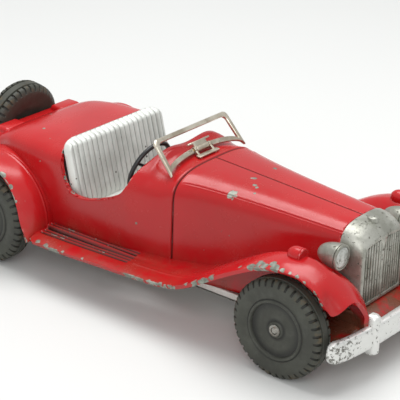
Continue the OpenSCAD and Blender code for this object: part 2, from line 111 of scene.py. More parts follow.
def link(name, data):
    obj = bpy.data.objects.new(name, data)
    bpy.context.scene.collection.objects.link(obj)
    return obj


def add_mesh(name, points, faces, material, body="root"):
    """Adds a mesh given in millimetres, and lets it ride on a body."""
    mesh = bpy.data.meshes.new(name)
    mesh.from_pydata([tuple(p) for p in np.asarray(points, float) * MM], [], faces)
    mesh.validate()
    mesh.materials.append(material)
    mesh.shade_smooth()
    obj = link(name, mesh)
    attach(obj, body)
    return obj


def tidy_mesh(obj, merge=0.002, outwards=True):
    """Welds doubled points and, unless told not to, makes the faces look outwards."""
    bm = bmesh.new()
    bm.from_mesh(obj.data)
    bmesh.ops.remove_doubles(bm, verts=bm.verts, dist=merge * MM)
    loose = [v for v in bm.verts if not v.link_faces]
    bmesh.ops.delete(bm, geom=loose, context="VERTS")
    if outwards:
        bmesh.ops.recalc_face_normals(bm, faces=bm.faces)
    bm.to_mesh(obj.data)
    bm.free()
    return obj


def thicken(obj, thickness):
    """Gives a sheet a thickness on its inner side."""
    mod = obj.modifiers.new("thickness", "SOLIDIFY")
    mod.thickness = thickness * MM
    mod.offset = -1
    mod.use_even_offset = False


def soften(obj, width, segments=3, angle=40):
    """Rounds the edges that are sharper than an angle."""
    mod = obj.modifiers.new("round edges", "BEVEL")
    mod.width = width * MM
    mod.segments = segments
    mod.limit_method = "ANGLE"
    mod.angle_limit = math.radians(angle)
    mod.use_clamp_overlap = True
    mod.harden_normals = False


def smooth_by_angle(obj, angle=40):
    """Shades smooth except across edges sharper than an angle."""
    obj.data.shade_smooth()
    bm = bmesh.new()
    bm.from_mesh(obj.data)
    for edge in bm.edges:
        edge.smooth = len(edge.link_faces) != 2 or edge.calc_face_angle(0) < math.radians(angle)
    bm.to_mesh(obj.data)
    bm.free()


def face_away(obj, *centre):
    """Turns the faces of an open sheet so that they look away from a point."""
    centre = Vector(centre) * MM
    if sum(p.normal.dot(p.center - centre) * p.area for p in obj.data.polygons) < 0:
        obj.data.flip_normals()


def both_sides(obj):
    """Keeps a red piece and adds its mirror image, with the same modifiers."""
    mesh = obj.data.copy()
    mesh.transform(Matrix.Scale(-1, 4, Vector((1, 0, 0))))
    mesh.flip_normals()
    twin = link(obj.name + "_left", mesh)
    for mod in obj.modifiers:
        copy = twin.modifiers.new(mod.name, mod.type)
        for prop in mod.bl_rna.properties:
            if not prop.is_readonly:
                setattr(copy, prop.identifier, getattr(mod, prop.identifier))
    obj.name = obj.name + "_right"
    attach(twin, "root")


# ---- materials

class Shader:
    """Short names for the nodes that the materials are built from."""

    def __init__(self, name):
        self.material = bpy.data.materials.new(name)
        self.material.use_nodes = True
        self.tree = self.material.node_tree
        self.tree.nodes.clear()
        self.out = self.tree.nodes.new("ShaderNodeOutputMaterial")
        self.surface = self.tree.nodes.new("ShaderNodeBsdfPrincipled")
        self.tree.links.new(self.surface.outputs[0], self.out.inputs["Surface"])
        self.place = self.tree.nodes.new("ShaderNodeTexCoord").outputs["Object"]

    def put(self, socket, value):
        if isinstance(value, bpy.types.NodeSocket):
            self.tree.links.new(value, socket)
        elif isinstance(value, (tuple, list)) and len(value) == 3 and socket.type == "RGBA":
            socket.default_value = (*value, 1)
        else:
            socket.default_value = value

    def set(self, **values):
        for name, value in values.items():
            self.put(self.surface.inputs[name.replace("_", " ")], value)

    def node(self, kind, output=0, inputs=(), **settings):
        """Adds a node, sets its options and inputs, and gives one of its outputs."""
        node = self.tree.nodes.new("ShaderNode" + kind)
        for key, value in settings.items():
            setattr(node, key, value)
        for key, value in inputs:
            self.put(node.inputs[key], value)
        return node.outputs[output]

    def stretched(self, scale):
        return self.node("Mapping", 0, [("Vector", self.place), ("Scale", scale)])

    def noise(self, scale, detail=4.0, rough=0.55, where=None):
        return self.node("TexNoise", "Fac", [("Vector", where or self.place), ("Scale", scale),
                                             ("Detail", detail), ("Roughness", rough)])

    def cells(self, scale):
        return self.node("TexVoronoi", "Distance", [("Vector", self.place), ("Scale", scale)])

    def math(self, operation, a, b=0.0):
        return self.node("Math", 0, [(0, a), (1, b)], operation=operation)

    def times(self, a, b):
        return self.math("MULTIPLY", a, b)

    def remap(self, value, low, high, to_low=0.0, to_high=1.0):
        return self.node("MapRange", "Result", [("Value", value), ("From Min", low), ("From Max", high),
                                                ("To Min", to_low), ("To Max", to_high)],
                         interpolation_type="SMOOTHSTEP")

    def mix(self, factor, a, b, kind="RGBA"):
        return self.node("Mix", "Result", [("Factor", factor), ("A", a), ("B", b)], data_type=kind)

    def blend(self, factor, a, b):
        return self.mix(factor, a, b, "FLOAT")

    def tones(self, noise, dark, light):
        """Colour that drifts between two tones."""
        return self.mix(self.remap(noise, 0.35, 0.65), dark, light)

    def attribute(self, name):
        return self.node("Attribute", "Fac", attribute_name=name)

    def groove_shade(self, base, share, colour):
        """Painted shade: darker where the modelling has marked a groove."""
        return self.mix(self.times(self.attribute("groove"), share), base, colour)

    def near(self, centre, size):
        """1 at a place given in millimetres, falling to 0 at a distance of size."""
        away = self.node("VectorMath", "Value", [(0, self.place), (1, [c * MM for c in centre])],
                         operation="DISTANCE")
        return self.remap(away, 0.0, size * MM, 1.0, 0.0)

    def axis(self, name):
        return self.node("SeparateXYZ", name, [(0, self.place)])

    def bump(self, *layers):
        """Layers of (height, strength in millimetres)."""
        normal = None
        for height, depth in layers:
            inputs = [("Strength", 1.0), ("Distance", depth * MM), ("Height", height)]
            normal = self.node("Bump", "Normal", inputs + ([("Normal", normal)] if normal else []))
        self.set(Normal=normal)


# Chips in the red paint, where the bare casting shows: (x, y, z, size) in millimetres.
CHIPS = [
    (-19.6, -35.4, 56.9, 4.6), (-20.2, -37, 56.3, 4), (-4.8, -36.4, 58.4, 1.9), (-5.6, -35.4, 58.4, 1.3),
    (-9.4, -40.2, 58.1, 1.6), (-10.4, -41.8, 58, 1.5), (-14, -43.6, 57.7, 1.6), (9.7, -36, 58.2, 1.6),
    (-30.9, 3.6, 35.4, 0.9), (-31, 4.2, 36.4, 0.6), (-20, 66, 57.6, 1.5), (-3, 78, 56.4, 1.2),
    (-28, 72, 52, 0.9), (-32.2, 22, 34, 0.5), (-25, -8, 55.7, 0.6),
    (-45.6, -66, 44, 3.2), (-44.6, -69, 46, 3), (-45.6, -72, 46.3, 3.6), (-44.2, -75, 48, 3),
    (-45.8, -77, 47, 3.4), (-45.9, -81, 47.4, 2), (-46, -84.5, 47.4, 1.8), (-46, -87.5, 46.8, 1.6),
    (-46, -91, 45.4, 1.5), (-44.6, -60, 42, 1.9), (-46, -47.5, 33.6, 2.6), (-45.8, -43, 31.2, 2.4),
    (-46.2, -39, 28.6, 3), (-46.2, -35, 26.4, 2), (-46.2, -16, 21.4, 1.6), (-46.2, -22, 22, 2),
    (-46.2, 20, 19.7, 1.4), (-46.2, 31, 19.2, 1.6), (-46.2, 41, 19, 2.8), (-45.4, 46, 19, 2.4),
    (-46, 70, 46.4, 3.4), (-46, 65.5, 44.2, 2.6), (-46.2, 61, 40, 2.4), (-46.2, 57.8, 34, 1.6)]


def red_paint():
    s = Shader("red_paint")
    broad = s.noise(22, 3, 0.5)
    fine = s.noise(420, 3, 0.6)
    blotches = s.noise(90, 6, 0.7)
    base = s.tones(broad, (0.40, 0.0045, 0.007), (0.48, 0.008, 0.011))
    # Browner in patches, more so towards the bottom of the body and low down on the apron at the front.
    low_and_front = s.remap(s.axis("Z"), 0.016, 0.030, 0.40, 0.0)
    ahead = s.times(s.remap(s.axis("Y"), -0.084, -0.088, 0.0, 0.95), s.remap(s.axis("Z"), 0.026, 0.023))
    low_and_front = s.math("ADD", low_and_front, ahead)
    brown_patches = s.times(s.remap(blotches, 0.34, 0.60), s.math("ADD", low_and_front, 0.07))
    base = s.mix(brown_patches, base, (0.17, 0.060, 0.032))
    # Painted shade, with some grime, lies in the grooves and corners that the modelling marks.
    base = s.groove_shade(base, 0.95, (0.022, 0.010, 0.008))

    ragged = s.math("SUBTRACT", s.noise(520, 5, 0.65), 0.5)
    chip = None
    for x, y, z, size in CHIPS:
        spot = s.near((x, y, z), size)
        chip = spot if chip is None else s.math("MAXIMUM", chip, spot)
    broken = s.times(s.math("SUBTRACT", s.noise(170, 4, 0.6), 0.5), 1.7)
    chip = s.math("ADD", chip, s.math("ADD", broken, s.times(ragged, 1.0)))
    chip = s.remap(chip, 0.44, 0.48)
    # Rims lose paint here and there along the edge.
    patchy = s.times(s.remap(s.noise(95, 4, 0.6), 0.50, 0.62), s.attribute("wear"))
    rim = s.remap(s.math("ADD", patchy, s.times(ragged, 0.9)), 0.62, 0.68)
    specks = s.times(s.remap(s.cells(170), 0.085, 0.07), s.remap(s.noise(60, 2), 0.60, 0.64))
    bare = s.math("MAXIMUM", s.math("MAXIMUM", chip, rim), specks)
    metal = s.tones(fine, (0.17, 0.18, 0.15), (0.34, 0.36, 0.31))
    s.set(Base_Color=s.mix(bare, base, metal),
          Metallic=s.times(bare, 0.55),
          Roughness=s.blend(bare, s.remap(blotches, 0.3, 0.8, 0.19, 0.33), 0.55),
          Specular_IOR_Level=0.5)
    s.bump((s.times(bare, -1.0), 0.09), (s.noise(160, 3, 0.5), 0.035), (fine, 0.01))
    return s.material


def worn_plating(name="worn_plating", bad=0.0):
    """Dulled plating; bad adds pits towards the two ends of a long piece."""
    s = Shader(name)
    side = s.math("ABSOLUTE", s.axis("X"))
    ends = s.remap(side, 0.027, 0.040, 0.0, bad)
    pits = s.remap(s.math("ADD", s.noise(620, 5, 0.7), s.times(ends, 0.11)), 0.60, 0.64)
    broad = s.noise(85, 5, 0.6)
    lumps = s.noise(260, 4, 0.6)
    base = s.tones(broad, (0.29, 0.29, 0.25), (0.47, 0.47, 0.42))
    base = s.mix(s.times(s.remap(lumps, 0.50, 0.66), 0.55 - 0.3 * bad), base, (0.24, 0.245, 0.20))
    if bad:
        base = s.mix(0.80, base, (0.84, 0.84, 0.82))
    base = s.mix(s.times(pits, 0.8), base, (0.13, 0.125, 0.10))
    # Painted shade in the grooves and the recess behind the grille that the modelling marks.
    base = s.groove_shade(base, 0.93, (0.050, 0.040, 0.024))
    s.set(Base_Color=base, Metallic=0.62,
          Roughness=s.blend(pits, s.remap(broad, 0.3, 0.7, 0.36, 0.50), 0.7))
    s.bump((pits, -0.10), (lumps, 0.24), (s.noise(700, 3, 0.6), 0.03))
    return s.material


def silver_paint():
    s = Shader("silver_paint")
    broad = s.noise(45, 5, 0.6)
    streak = s.noise(60, 5, 0.6, s.stretched((3, 3, 0.5)))
    base = s.tones(broad, (0.56, 0.58, 0.54), (0.72, 0.74, 0.70))
    base = s.mix(s.times(s.remap(streak, 0.5, 0.68), 0.35), base, (0.42, 0.43, 0.40))
    # Painted shade in the valleys between the seat's ribs.
    base = s.groove_shade(base, 0.75, (0.16, 0.155, 0.145))
    chips = s.times(s.remap(s.cells(260), 0.13, 0.11), s.remap(s.noise(75, 2), 0.54, 0.58))
    rim = s.remap(s.times(s.attribute("wear"), s.noise(240, 4, 0.6)), 0.56, 0.60)
    bare = s.math("MAXIMUM", chips, rim)
    s.set(Base_Color=s.mix(bare, base, (0.07, 0.055, 0.05)), Metallic=0.28,
          Roughness=s.remap(broad, 0.3, 0.7, 0.38, 0.52))
    s.bump((bare, -0.08), (s.noise(400, 3, 0.6), 0.03))
    return s.material


def nickel():
    s = Shader("nickel")
    broad = s.noise(120, 5, 0.6)
    base = s.tones(broad, (0.46, 0.40, 0.31), (0.72, 0.67, 0.56))
    stain = s.remap(s.noise(210, 5, 0.7), 0.58, 0.70)
    base = s.mix(s.times(stain, 0.7), base, (0.16, 0.12, 0.08))
    s.set(Base_Color=base, Metallic=0.9, Roughness=s.blend(stain, 0.30, 0.6))
    s.bump((stain, -0.04), (s.noise(600, 3), 0.015))
    return s.material


def plain_metal(name, dark, light, roughness, rust=0.0, metallic=0.9, scale=110):
    """Bare sheet or turned metal with stains and fine scratches."""
    s = Shader(name)
    broad = s.noise(scale, 5, 0.6)
    base = s.tones(broad, dark, light)
    stain = s.times(s.remap(s.noise(scale * 1.7, 6, 0.7), 0.52, 0.68), rust)
    base = s.mix(stain, base, (0.14, 0.07, 0.035))
    scratch = s.noise(500, 3, 0.6, s.stretched((4, 0.15, 1)))
    s.set(Base_Color=base, Metallic=metallic,
          Roughness=s.remap(broad, 0.3, 0.7, roughness - 0.07, roughness + 0.1))
    s.bump((scratch, 0.012), (stain, -0.03))
    return s.material


def rubber():
    s = Shader("rubber")
    broad = s.noise(60, 5, 0.6)
    dust = s.times(s.remap(s.noise(130, 6, 0.7), 0.42, 0.72), 0.5)
    base = s.tones(broad, (0.034, 0.035, 0.027), (0.054, 0.056, 0.044))
    base = s.mix(dust, base, (0.080, 0.082, 0.068))
    brown = s.times(s.remap(s.noise(210, 5, 0.7), 0.52, 0.66), s.attribute("tread"))
    base = s.mix(s.times(brown, 0.75), base, (0.095, 0.070, 0.036))
    # Painted shade in the tread grooves and lug notches.
    base = s.groove_shade(base, 0.75, (0.008, 0.008, 0.007))
    s.set(Base_Color=base, Roughness=s.remap(broad, 0.3, 0.7, 0.46, 0.64), Specular_IOR_Level=0.40)
    s.bump((s.noise(380, 5, 0.65), 0.06), (s.noise(1400, 2), 0.015))
    return s.material


def black_plastic():
    s = Shader("black_plastic")
    broad = s.noise(150, 4, 0.6)
    base = s.tones(broad, (0.010, 0.010, 0.011), (0.024, 0.024, 0.024))
    s.set(Base_Color=base, Roughness=s.remap(broad, 0.3, 0.7, 0.28, 0.45))
    s.bump((s.noise(500, 3), 0.02))
    return s.material


def lamp_glass():
    """Plated lens face with a faint ribbed pattern."""
    s = Shader("lamp_face")
    broad = s.noise(150, 5, 0.6)
    base = s.tones(broad, (0.40, 0.41, 0.38), (0.62, 0.63, 0.60))
    base = s.mix(s.remap(s.noise(500, 4, 0.7), 0.54, 0.62), base, (0.24, 0.24, 0.21))
    s.set(Base_Color=base, Metallic=0.55, Roughness=0.36)
    s.bump((s.cells(900), 0.22), (s.noise(500, 4), 0.10))
    return s.material


RED = red_paint()
PLATING = worn_plating()
SILVER = silver_paint()
NICKEL = nickel()
RUBBER = rubber()
BLACK = black_plastic()
STEEL = plain_metal("steel", (0.16, 0.15, 0.13), (0.36, 0.35, 0.32), 0.42, rust=0.75, scale=300)
TINPLATE = plain_metal("tinplate", (0.62, 0.61, 0.56), (0.80, 0.79, 0.75), 0.46, rust=0.30, scale=45, metallic=0.3)
BRASS = plain_metal("brass", (0.42, 0.27, 0.09), (0.62, 0.44, 0.18), 0.36, rust=0.25)
PITTED = worn_plating("pitted_plating", 0.9)
LENS = lamp_glass()
FLYWHEEL = plain_metal("flywheel_metal", (0.10, 0.10, 0.10), (0.22, 0.22, 0.22), 0.42, rust=0.3)


def mark(obj, name, values):
    """Stores a number for every point of a mesh, for its material to read."""
    layer = obj.data.attributes.get(name) or obj.data.attributes.new(name, "FLOAT", "POINT")
    layer.data.foreach_set("value", np.asarray(values, np.float32))


# ---- body: skin

NOSE_Y = -86.0
SCUTTLE_Y = -12.5
TAIL_Y = 94.5
SILL_Z = 14.9
REAR_Y = 77.5
FRONT_Y = -78.5
AXLE_Z = 20.7
FENDER_OUT = 46.4

STATIONS = [-86, -60, -40, -20, -12.5, -7, -2, 1.5, 9, 24, 42.5, 62, 76, 83.5, 89, 94.5]
sill_w = spline(STATIONS, [15.6, 18.6, 21.2, 25, 27.5, 28.4, 29, 29.3, 30, 30, 30, 29.5, 28, 26.5, 25.5, 24.5])
side_w = spline(STATIONS, [15.6, 18.1, 20.7, 24.6, 27.3, 28.6, 30, 31, 32.8, 33.6, 33.6, 33, 30.6, 28.2, 27, 25.5])
side_z = spline(STATIONS, [45, 45.4, 45.7, 46, 46, 46, 46, 46, 46, 46, 46, 46, 45.5, 44, 42, 40])
top_z = spline(STATIONS, [56.2, 57.55, 58.6, 59.65, 60, 60.1, 61, 62.4, 62.6, 60.5, 58.4, 58.2, 56.8, 54.2, 51.2,
                          46.5])
square = spline(STATIONS, [3.3, 3.3, 3.3, 3.3, 3.2, 2.7, 2.5, 2.5, 2.6, 3, 4, 4, 4.4, 5, 5, 5])
hump_h = spline(STATIONS, [0, 0, 0, 0, 0, 0.2, 0.8, 1.9, 1.4, 0, 0, 0, 0, 0, 0, 0])


def side_x(y, z):
    """Half width of the body at a height."""
    zc, w, n = side_z(y), side_w(y), square(y)
    low = w - (w - sill_w(y)) * np.clip((zc - z) / (zc - SILL_Z), 0, 1) ** 1.5
    up = np.clip((z - zc) / (top_z(y) - zc), 0, 1)
    return np.where(z < zc, low, w * (1 - up ** n) ** (1 / n))


def hump(y, x):
    return hump_h(y) * np.sin(math.pi * np.minimum(1, np.abs(x) / 27)) ** 2


CENTRE_STEPS = np.array([2.2, 1.4, 0.9, 0.62, 0.48, 0.38, 0.28, 0.14, 0.0])
SHOULDER_STEPS = np.array([-1.3, -0.95, -0.72, -0.5, -0.3, -0.1, 0.1, 0.3, 0.5, 0.72, 0.95, 1.3])
SHOULDER = 0.87
WALL_SHARES = (0.985, 0.9, 0.6, 0.3, 0.0)


def crown_line(y, z_from, count):
    """Points from a height on the side to the top centre, close together at the shoulder and at the centre."""
    a = np.linspace(0, math.pi / 2, 400)
    zc, w, n = side_z(y), side_w(y), square(y)
    x = w * np.cos(a) ** (2 / n)
    x[-1] = 0
    z = zc + (top_z(y) - zc) * np.sin(a) ** (2 / n)
    rising = z > z_from
    x = np.concatenate([[side_x(y, z_from)], x[rising]])
    z = np.concatenate([[z_from], z[rising]])
    z = z + np.where(z > z_from, hump(y, x) * smooth((z - z_from) / 4), 0)
    # Fine steps across the last stretch keep the curve true where the parameter is coarse.
    xf = np.linspace(x[-2], 0, 40)[1:]
    up = (1 - (xf / w) ** n) ** (1 / n)
    zf = zc + (top_z(y) - zc) * up + hump(y, xf)
    x = np.concatenate([x[:-1], xf])
    z = np.concatenate([z[:-1], zf])
    s = np.concatenate([[0], np.cumsum(np.hypot(np.diff(x), np.diff(z)))])
    shoulder = np.interp(-SHOULDER * w, -x, s) + SHOULDER_STEPS
    near_centre = s[-1] - CENTRE_STEPS
    low = 6
    high = count - low - len(shoulder) - len(near_centre)
    want = np.concatenate([np.linspace(0, shoulder[0], low + 1)[:-1], shoulder,
                           np.linspace(shoulder[-1], near_centre[0], high + 2)[1:-1], near_centre])
    return np.interp(want, s, x), np.interp(want, s, z)


SHOULDER_ROWS = range(6, 6 + len(SHOULDER_STEPS))
LOW_ROWS = 26
HIGH_ROWS = 46
DOOR_Z0 = 51.5
DOOR_Y0 = 8.0
DOOR_Y1 = 44.2
DECK_Z0 = 53.0
door_line = spline([8, 10.5, 14.5, 19.5, 25, 30, 34.5, 38.5, 41.2, 43.2, 44.2],
                   [51.5, 47.6, 44.7, 42.4, 40.4, 39.0, 38.7, 39.7, 43.2, 49.0, 53.0])
scuttle_end = spline([51.5, 55, 60.5, 63, 65], [8.0, 7.0, 4.4, 3.1, 2.4])


def body_skin():
    # Positions along the car are closer together at the grooves and rims.
    front = spans((NOSE_Y, -14.2, 74), [-13.5, -13.1, -12.85, -12.65, -12.5, -12.35, -12.15, -11.9, -11.5],
                  (-10.6, -8.0, 4))
    door = spans((8.6, 38, 40), (38.5, 44.2, 20))
    tau = np.linspace(0, 1, LOW_ROWS + 1)
    rows = LOW_ROWS + HIGH_ROWS + 1
    columns = []

    def column(y_low, z_line, y_high=None):
        """One line of points from the sill over to the top centre; the rows above z_line may sit elsewhere."""
        pts = np.zeros((rows, 3))
        z = SILL_Z + tau * (z_line - SILL_Z)
        pts[:LOW_ROWS + 1] = xyz(side_x(y_low, z), y_low, z)
        if y_high is None:
            x, z = crown_line(y_low, z_line, HIGH_ROWS + 1)
            pts[LOW_ROWS:] = xyz(x, y_low, z)
        else:
            for k in range(1, HIGH_ROWS + 1):
                x, z = crown_line(y_high[k], z_line, HIGH_ROWS + 1)
                pts[LOW_ROWS + k] = (x[k], y_high[k], z[k])
        return pts

    for y in front:
        columns.append(column(y, DOOR_Z0))
    ref_z = crown_line(5.0, DOOR_Z0, HIGH_ROWS + 1)[1]
    ends = scuttle_end(ref_z)
    for s in np.linspace(0, 1, 25)[1:]:
        y_high = -8.0 + s * (ends + 8.0)
        columns.append(column(-8.0 + s * (DOOR_Y0 + 8.0), DOOR_Z0, y_high))
    first_gap = len(columns) - 1
    for y in door[:-1]:
        columns.append(column(y, float(door_line(y)), np.full(HIGH_ROWS + 1, y)))
    ref_z = crown_line(46.0, DECK_Z0, HIGH_ROWS + 1)[1]
    starts = DOOR_Y1 + 2.2 * smooth((ref_z - DECK_Z0) / 4.5)
    first_rear = len(columns)
    columns.append(column(DOOR_Y1, DECK_Z0, starts))
    for s in np.linspace(0, 1, 50)[1:]:
        y_low = DOOR_Y1 + s * (TAIL_Y - DOOR_Y1)
        columns.append(column(y_low, float(tail_line(y_low)), starts + s * (TAIL_Y - starts)))

    pts = np.array(columns)
    y, x = pts[..., 1], pts[..., 0]
    ring = np.exp(-((y - SCUTTLE_Y) / 0.36) ** 2)
    line = np.exp(-(x / 0.40) ** 4) * (y < SCUTTLE_Y + 0.01)
    line[:, :LOW_ROWS] = 0
    # A bead of two fine ridges runs along the shoulder of the bonnet.
    bead = np.zeros(pts.shape[:2])
    for k, step in zip(SHOULDER_ROWS, SHOULDER_STEPS):
        bead[:, LOW_ROWS + k] = 0.26 * math.exp(-((step - 0.35) / 0.34) ** 2) + 0.13 * math.exp(
            -((step + 0.72) / 0.22) ** 2)
    bead *= smooth((SCUTTLE_Y - 2.2 - y) / 1.5)
    depth = np.maximum(ring * 0.55, line * 0.6 * smooth((y - NOSE_Y - 0.6) / 2.5))
    lip = 0.18 * np.exp(-((y - SCUTTLE_Y - 0.95) / 0.6) ** 2)
    # The scuttle groove and the bonnet's centre line are marked for painted shade.
    groove = np.clip(np.maximum(ring, line), 0, 1)
    pts = pts - grid_normals(pts) * (depth - lip - bead)[..., None]
    # Columns of points run on across both ends. They become a flat wall at the tail only, because the nose is
    # open behind the radiator; the points at the nose keep the order in which the sheet is welded.
    wall = [pts[-1] * (share, 0, 1) + (0, TAIL_Y, 0) for share in WALL_SHARES]
    nose = [pts[0] * (share, 0, 1) + (0, NOSE_Y, 0) for share in WALL_SHARES[::-1]]
    pts = np.concatenate([nose, pts, wall])
    groove = np.pad(groove, ((len(nose), len(wall)), (0, 0)))
    first_gap += len(nose)
    first_rear += len(nose)
    wear = np.zeros(pts.shape[:2])
    # Bare metal shows first along the rims of the cockpit.
    wear[first_gap:first_rear + 1, LOW_ROWS] = 0.72
    wear[first_gap, LOW_ROWS:] = 0.8
    wear[first_rear, LOW_ROWS:] = 0.8

    def keep(i, j):
        return i >= len(nose) and (j < LOW_ROWS or i < first_gap or i >= first_rear)

    faces = grid_faces(len(pts), rows, keep)
    half = add_mesh("body_skin", pts.reshape(-1, 3), faces, RED)
    mark(half, "groove", groove.reshape(-1))
    mark(half, "wear", wear.reshape(-1))
    mirror = half.modifiers.new("other side", "MIRROR")
    mirror.use_clip = True
    mirror.merge_threshold = 0.02 * MM
    tidy_mesh(half, 0.001, outwards=False)
    face_away(half, 0, 0, 30)
    thicken(half, 1.9)
    soften(half, 0.55, 3, 55)
    return half


tail_line = spline([44.2, 60, 76, 83.5, 89, 94.5], [53.0, 53.0, 52.0, 49.0, 46.5, 42.5])


def grid_normals(pts):
    """Outward normals of a grid of points (first index along the car, second from the sill up)."""
    du = np.gradient(pts, axis=0)
    dv = np.gradient(pts, axis=1)
    n = np.cross(dv, du)
    n = n / np.maximum(np.linalg.norm(n, axis=2, keepdims=True), 1e-9)
    flip = np.where((n[..., 0] * pts[..., 0] + n[..., 2] * (pts[..., 2] - 30)) < 0, -1, 1)
    return n * flip[..., None]


# ---- body: fenders

# Sections of the front fender: distance ahead of the middle, inner edge x and z, outer edge x and z, crown z.
FENDER = np.array([
    [-51, 29, 21.9, 45.3, 18.6, 20.4], [-48.8, 28.9, 21.9, 46.4, 18.3, 20.4], [-32, 28.4, 22.1, 46.4, 18.8, 20.7],
    [-10, 27.6, 22.5, 46.4, 19.9, 21.5], [16, 25, 23.1, 46.4, 21.2, 22.7], [27, 22.4, 23.6, 46.4, 22.9, 24.1],
    [34, 21, 25.8, 46.4, 25.7, 26.7], [42.5, 19.6, 30.6, 46.4, 30.5, 31.8], [51, 18.4, 34.6, 46.4, 35.6, 37.1],
    [59, 17.3, 37.4, 46.4, 40, 42], [66, 16.5, 38.6, 46.4, 43.4, 45.9], [73, 15.9, 39, 46.4, 45.7, 48.5],
    [80, 15.2, 38.6, 46.4, 46.9, 49.8], [84, 14.9, 38.2, 46.4, 47, 49.9], [86.4, 16.4, 37.7, 46.3, 46.9, 49.8],
    [94, 16.9, 35, 45.7, 43.9, 46.9], [100, 18.5, 31.2, 44.4, 39.3, 42.6], [105.4, 21.9, 26.6, 42, 33.4, 37.4]])
CROWN_X = 35.5
VALLEY_W = 6
CORNER_R = 4.4
LIP_DROP = 9.0
GROOVES = [31.45 + 2 * i for i in range(5)]


def front_fender():
    curves = [spline(FENDER[:, 0], FENDER[:, k]) for k in range(1, 6)]
    ys = spans((51, 48.6, 7), (48.2, 46.6, 4), (45, 2, 26), (1.6, -0.4, 7), (-1.5, -105.4, 118))
    inner = np.linspace(0, 1, 12)[:-1]
    board = np.arange(30.8, 40.35, 0.15)
    outer = spans((0, 0.84, 9), (0.88, 1, 7))[1:]
    pts, groove, wear = [], [], []
    for y in ys:
        x0, z0, x1, z1, zc = [float(c(-y)) for c in curves]
        x = np.concatenate([x0 + (30.8 - x0) * inner, board, 40.2 + (x1 - 40.2) * outer])
        valley = VALLEY_W * min(1.0, (y + 105.5) / 25)
        dip = smooth(np.minimum(1, (CROWN_X - x) / (CROWN_X - x0 - valley)))
        # Towards the tip the section turns into a full arch.
        arch = np.clip((CROWN_X - x) / (CROWN_X - x0), 0, 1) ** 2.1
        dip = dip + (arch - dip) * smooth((-91 - y) / 8)
        fall = np.clip((x - CROWN_X) / (x1 - CROWN_X), 0, 1) ** 2.4
        z = np.where(x < CROWN_X, zc - (zc - z0) * dip, zc - (zc - z1) * fall)
        # Treads pressed into the running board, and the ridge that goes on ahead of them.
        on_board = smooth((y - 0.6) / 1.0) * smooth((50.2 - y) / 1.0)
        line = sum(np.exp(-((x - g) / 0.66) ** 4) for g in GROOVES) * on_board
        z = z - 0.68 * line
        ahead = smooth((0.4 - y) / 3) * smooth((y + 58) / 30)
        z = z + 0.22 * ahead * np.exp(-((x - 39.2) / 0.5) ** 2)
        pts.append(xyz(x, y, z))
        # The treads are marked for painted shade, with some grime.
        groove.append(line)
        edge = np.clip((x - (x1 - 1.3)) / 1.3, 0, 1)
        ribs = 0.80 * on_board * (np.abs(x - 35.4) < 4.6) * (1 - np.clip(line, 0, 1))
        wear.append(np.maximum(edge, ribs))
    pts, groove, wear = np.array(pts), np.array(groove), np.array(wear)
    # The front edge is rounded back at its outer corner.
    along = np.clip(pts[..., 0] - (42 - CORNER_R), 0, CORNER_R)
    pts[..., 1] += (CORNER_R - np.sqrt(CORNER_R ** 2 - along ** 2)) * smooth((-96.5 - pts[..., 1]) / 8.9)
    # Ahead of the radiator's back the inner edge turns down into a lip.
    lips = []
    for drop in (1.0, 0.6, 0.2):
        lip = pts[:, 0].copy()
        lip[:, 0] += 0.15
        lip[:, 2] -= LIP_DROP * drop * smooth((-85 - lip[:, 1]) / 7)
        lips.append(lip)
    pts = np.concatenate([np.stack(lips, 1), pts], axis=1)
    groove, wear = [np.pad(values, ((0, 0), (len(lips), 0))) for values in (groove, wear)]
    wear[-1] = 0
    obj = add_mesh("front_fender", pts.reshape(-1, 3) * (-1, 1, 1), grid_faces(*pts.shape[:2]), RED)
    mark(obj, "groove", groove.reshape(-1))
    mark(obj, "wear", wear.reshape(-1))
    face_away(obj, -35, 0, -1000)
    thicken(obj, 1.8)
    soften(obj, 0.6, 3, 60)
    both_sides(obj)


# Angles run from straight ahead of the rear axle over the top to straight behind it.
rear_edge_r = spline([-8, -2, 5, 14, 31, 52, 68, 90, 130, 186],
                     [26.6, 24.6, 22.7, 22.1, 22.9, 25.2, 26.9, 27.2, 26.0, 24.0])
rear_top_r = spline([-6, 60, 90, 130, 186], [27.0, 27.6, 28.0, 28.0, 27.6])


def rear_fender():
    angles = np.linspace(-8, 188, 124)
    across = spans((0, 0.40, 8), (0.42, 0.53, 15), (0.56, 0.84, 12), (0.87, 1, 9))
    x0, x1, ridge = 24.0, 46.3, 35.0
    pts = []
    for a in angles:
        row = []
        for v in across:
            x = x0 + (x1 - x0) * v
            q = max(0.0, (x - ridge) / (x1 - ridge))
            inner = max(0.0, (ridge - x) / (ridge - x0))
            r = rear_top_r(a) - (rear_top_r(a) - rear_edge_r(a)) * q ** 2.6 - 0.5 * inner ** 2
            # A fine bead runs round the fender beside the body.
            r += 0.28 * math.exp(-((x - 34.9) / 0.45) ** 2) - 0.15 * math.exp(-((x - 33.9) / 0.4) ** 2)
            row.append((x, REAR_Y - r * math.cos(math.radians(a)), AXLE_Z + r * math.sin(math.radians(a))))
        pts.append(row)
    obj = add_mesh("rear_fender", np.array(pts).reshape(-1, 3) * (-1, 1, 1), grid_faces(len(angles), len(across)),
                   RED)
    mark(obj, "wear", np.tile(np.clip((across - 0.95) / 0.05, 0, 1), len(angles)))
    face_away(obj, -35, REAR_Y, AXLE_Z)
    thicken(obj, 1.7)
    soften(obj, 0.6, 4, 55)
    both_sides(obj)


skin = body_skin()
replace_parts(skin, "body_casting")
front_fender()
rear_fender()


# ---- shared shapes

ALONG_X = Matrix(((0, 0, 1, 0), (1, 0, 0, 0), (0, 1, 0, 0), (0, 0, 0, 1)))


def moved(points, place):
    """Points after a 4x4 placement in millimetres."""
    m = np.array(place)
    return np.asarray(points, float) @ m[:3, :3].T + m[:3, 3]


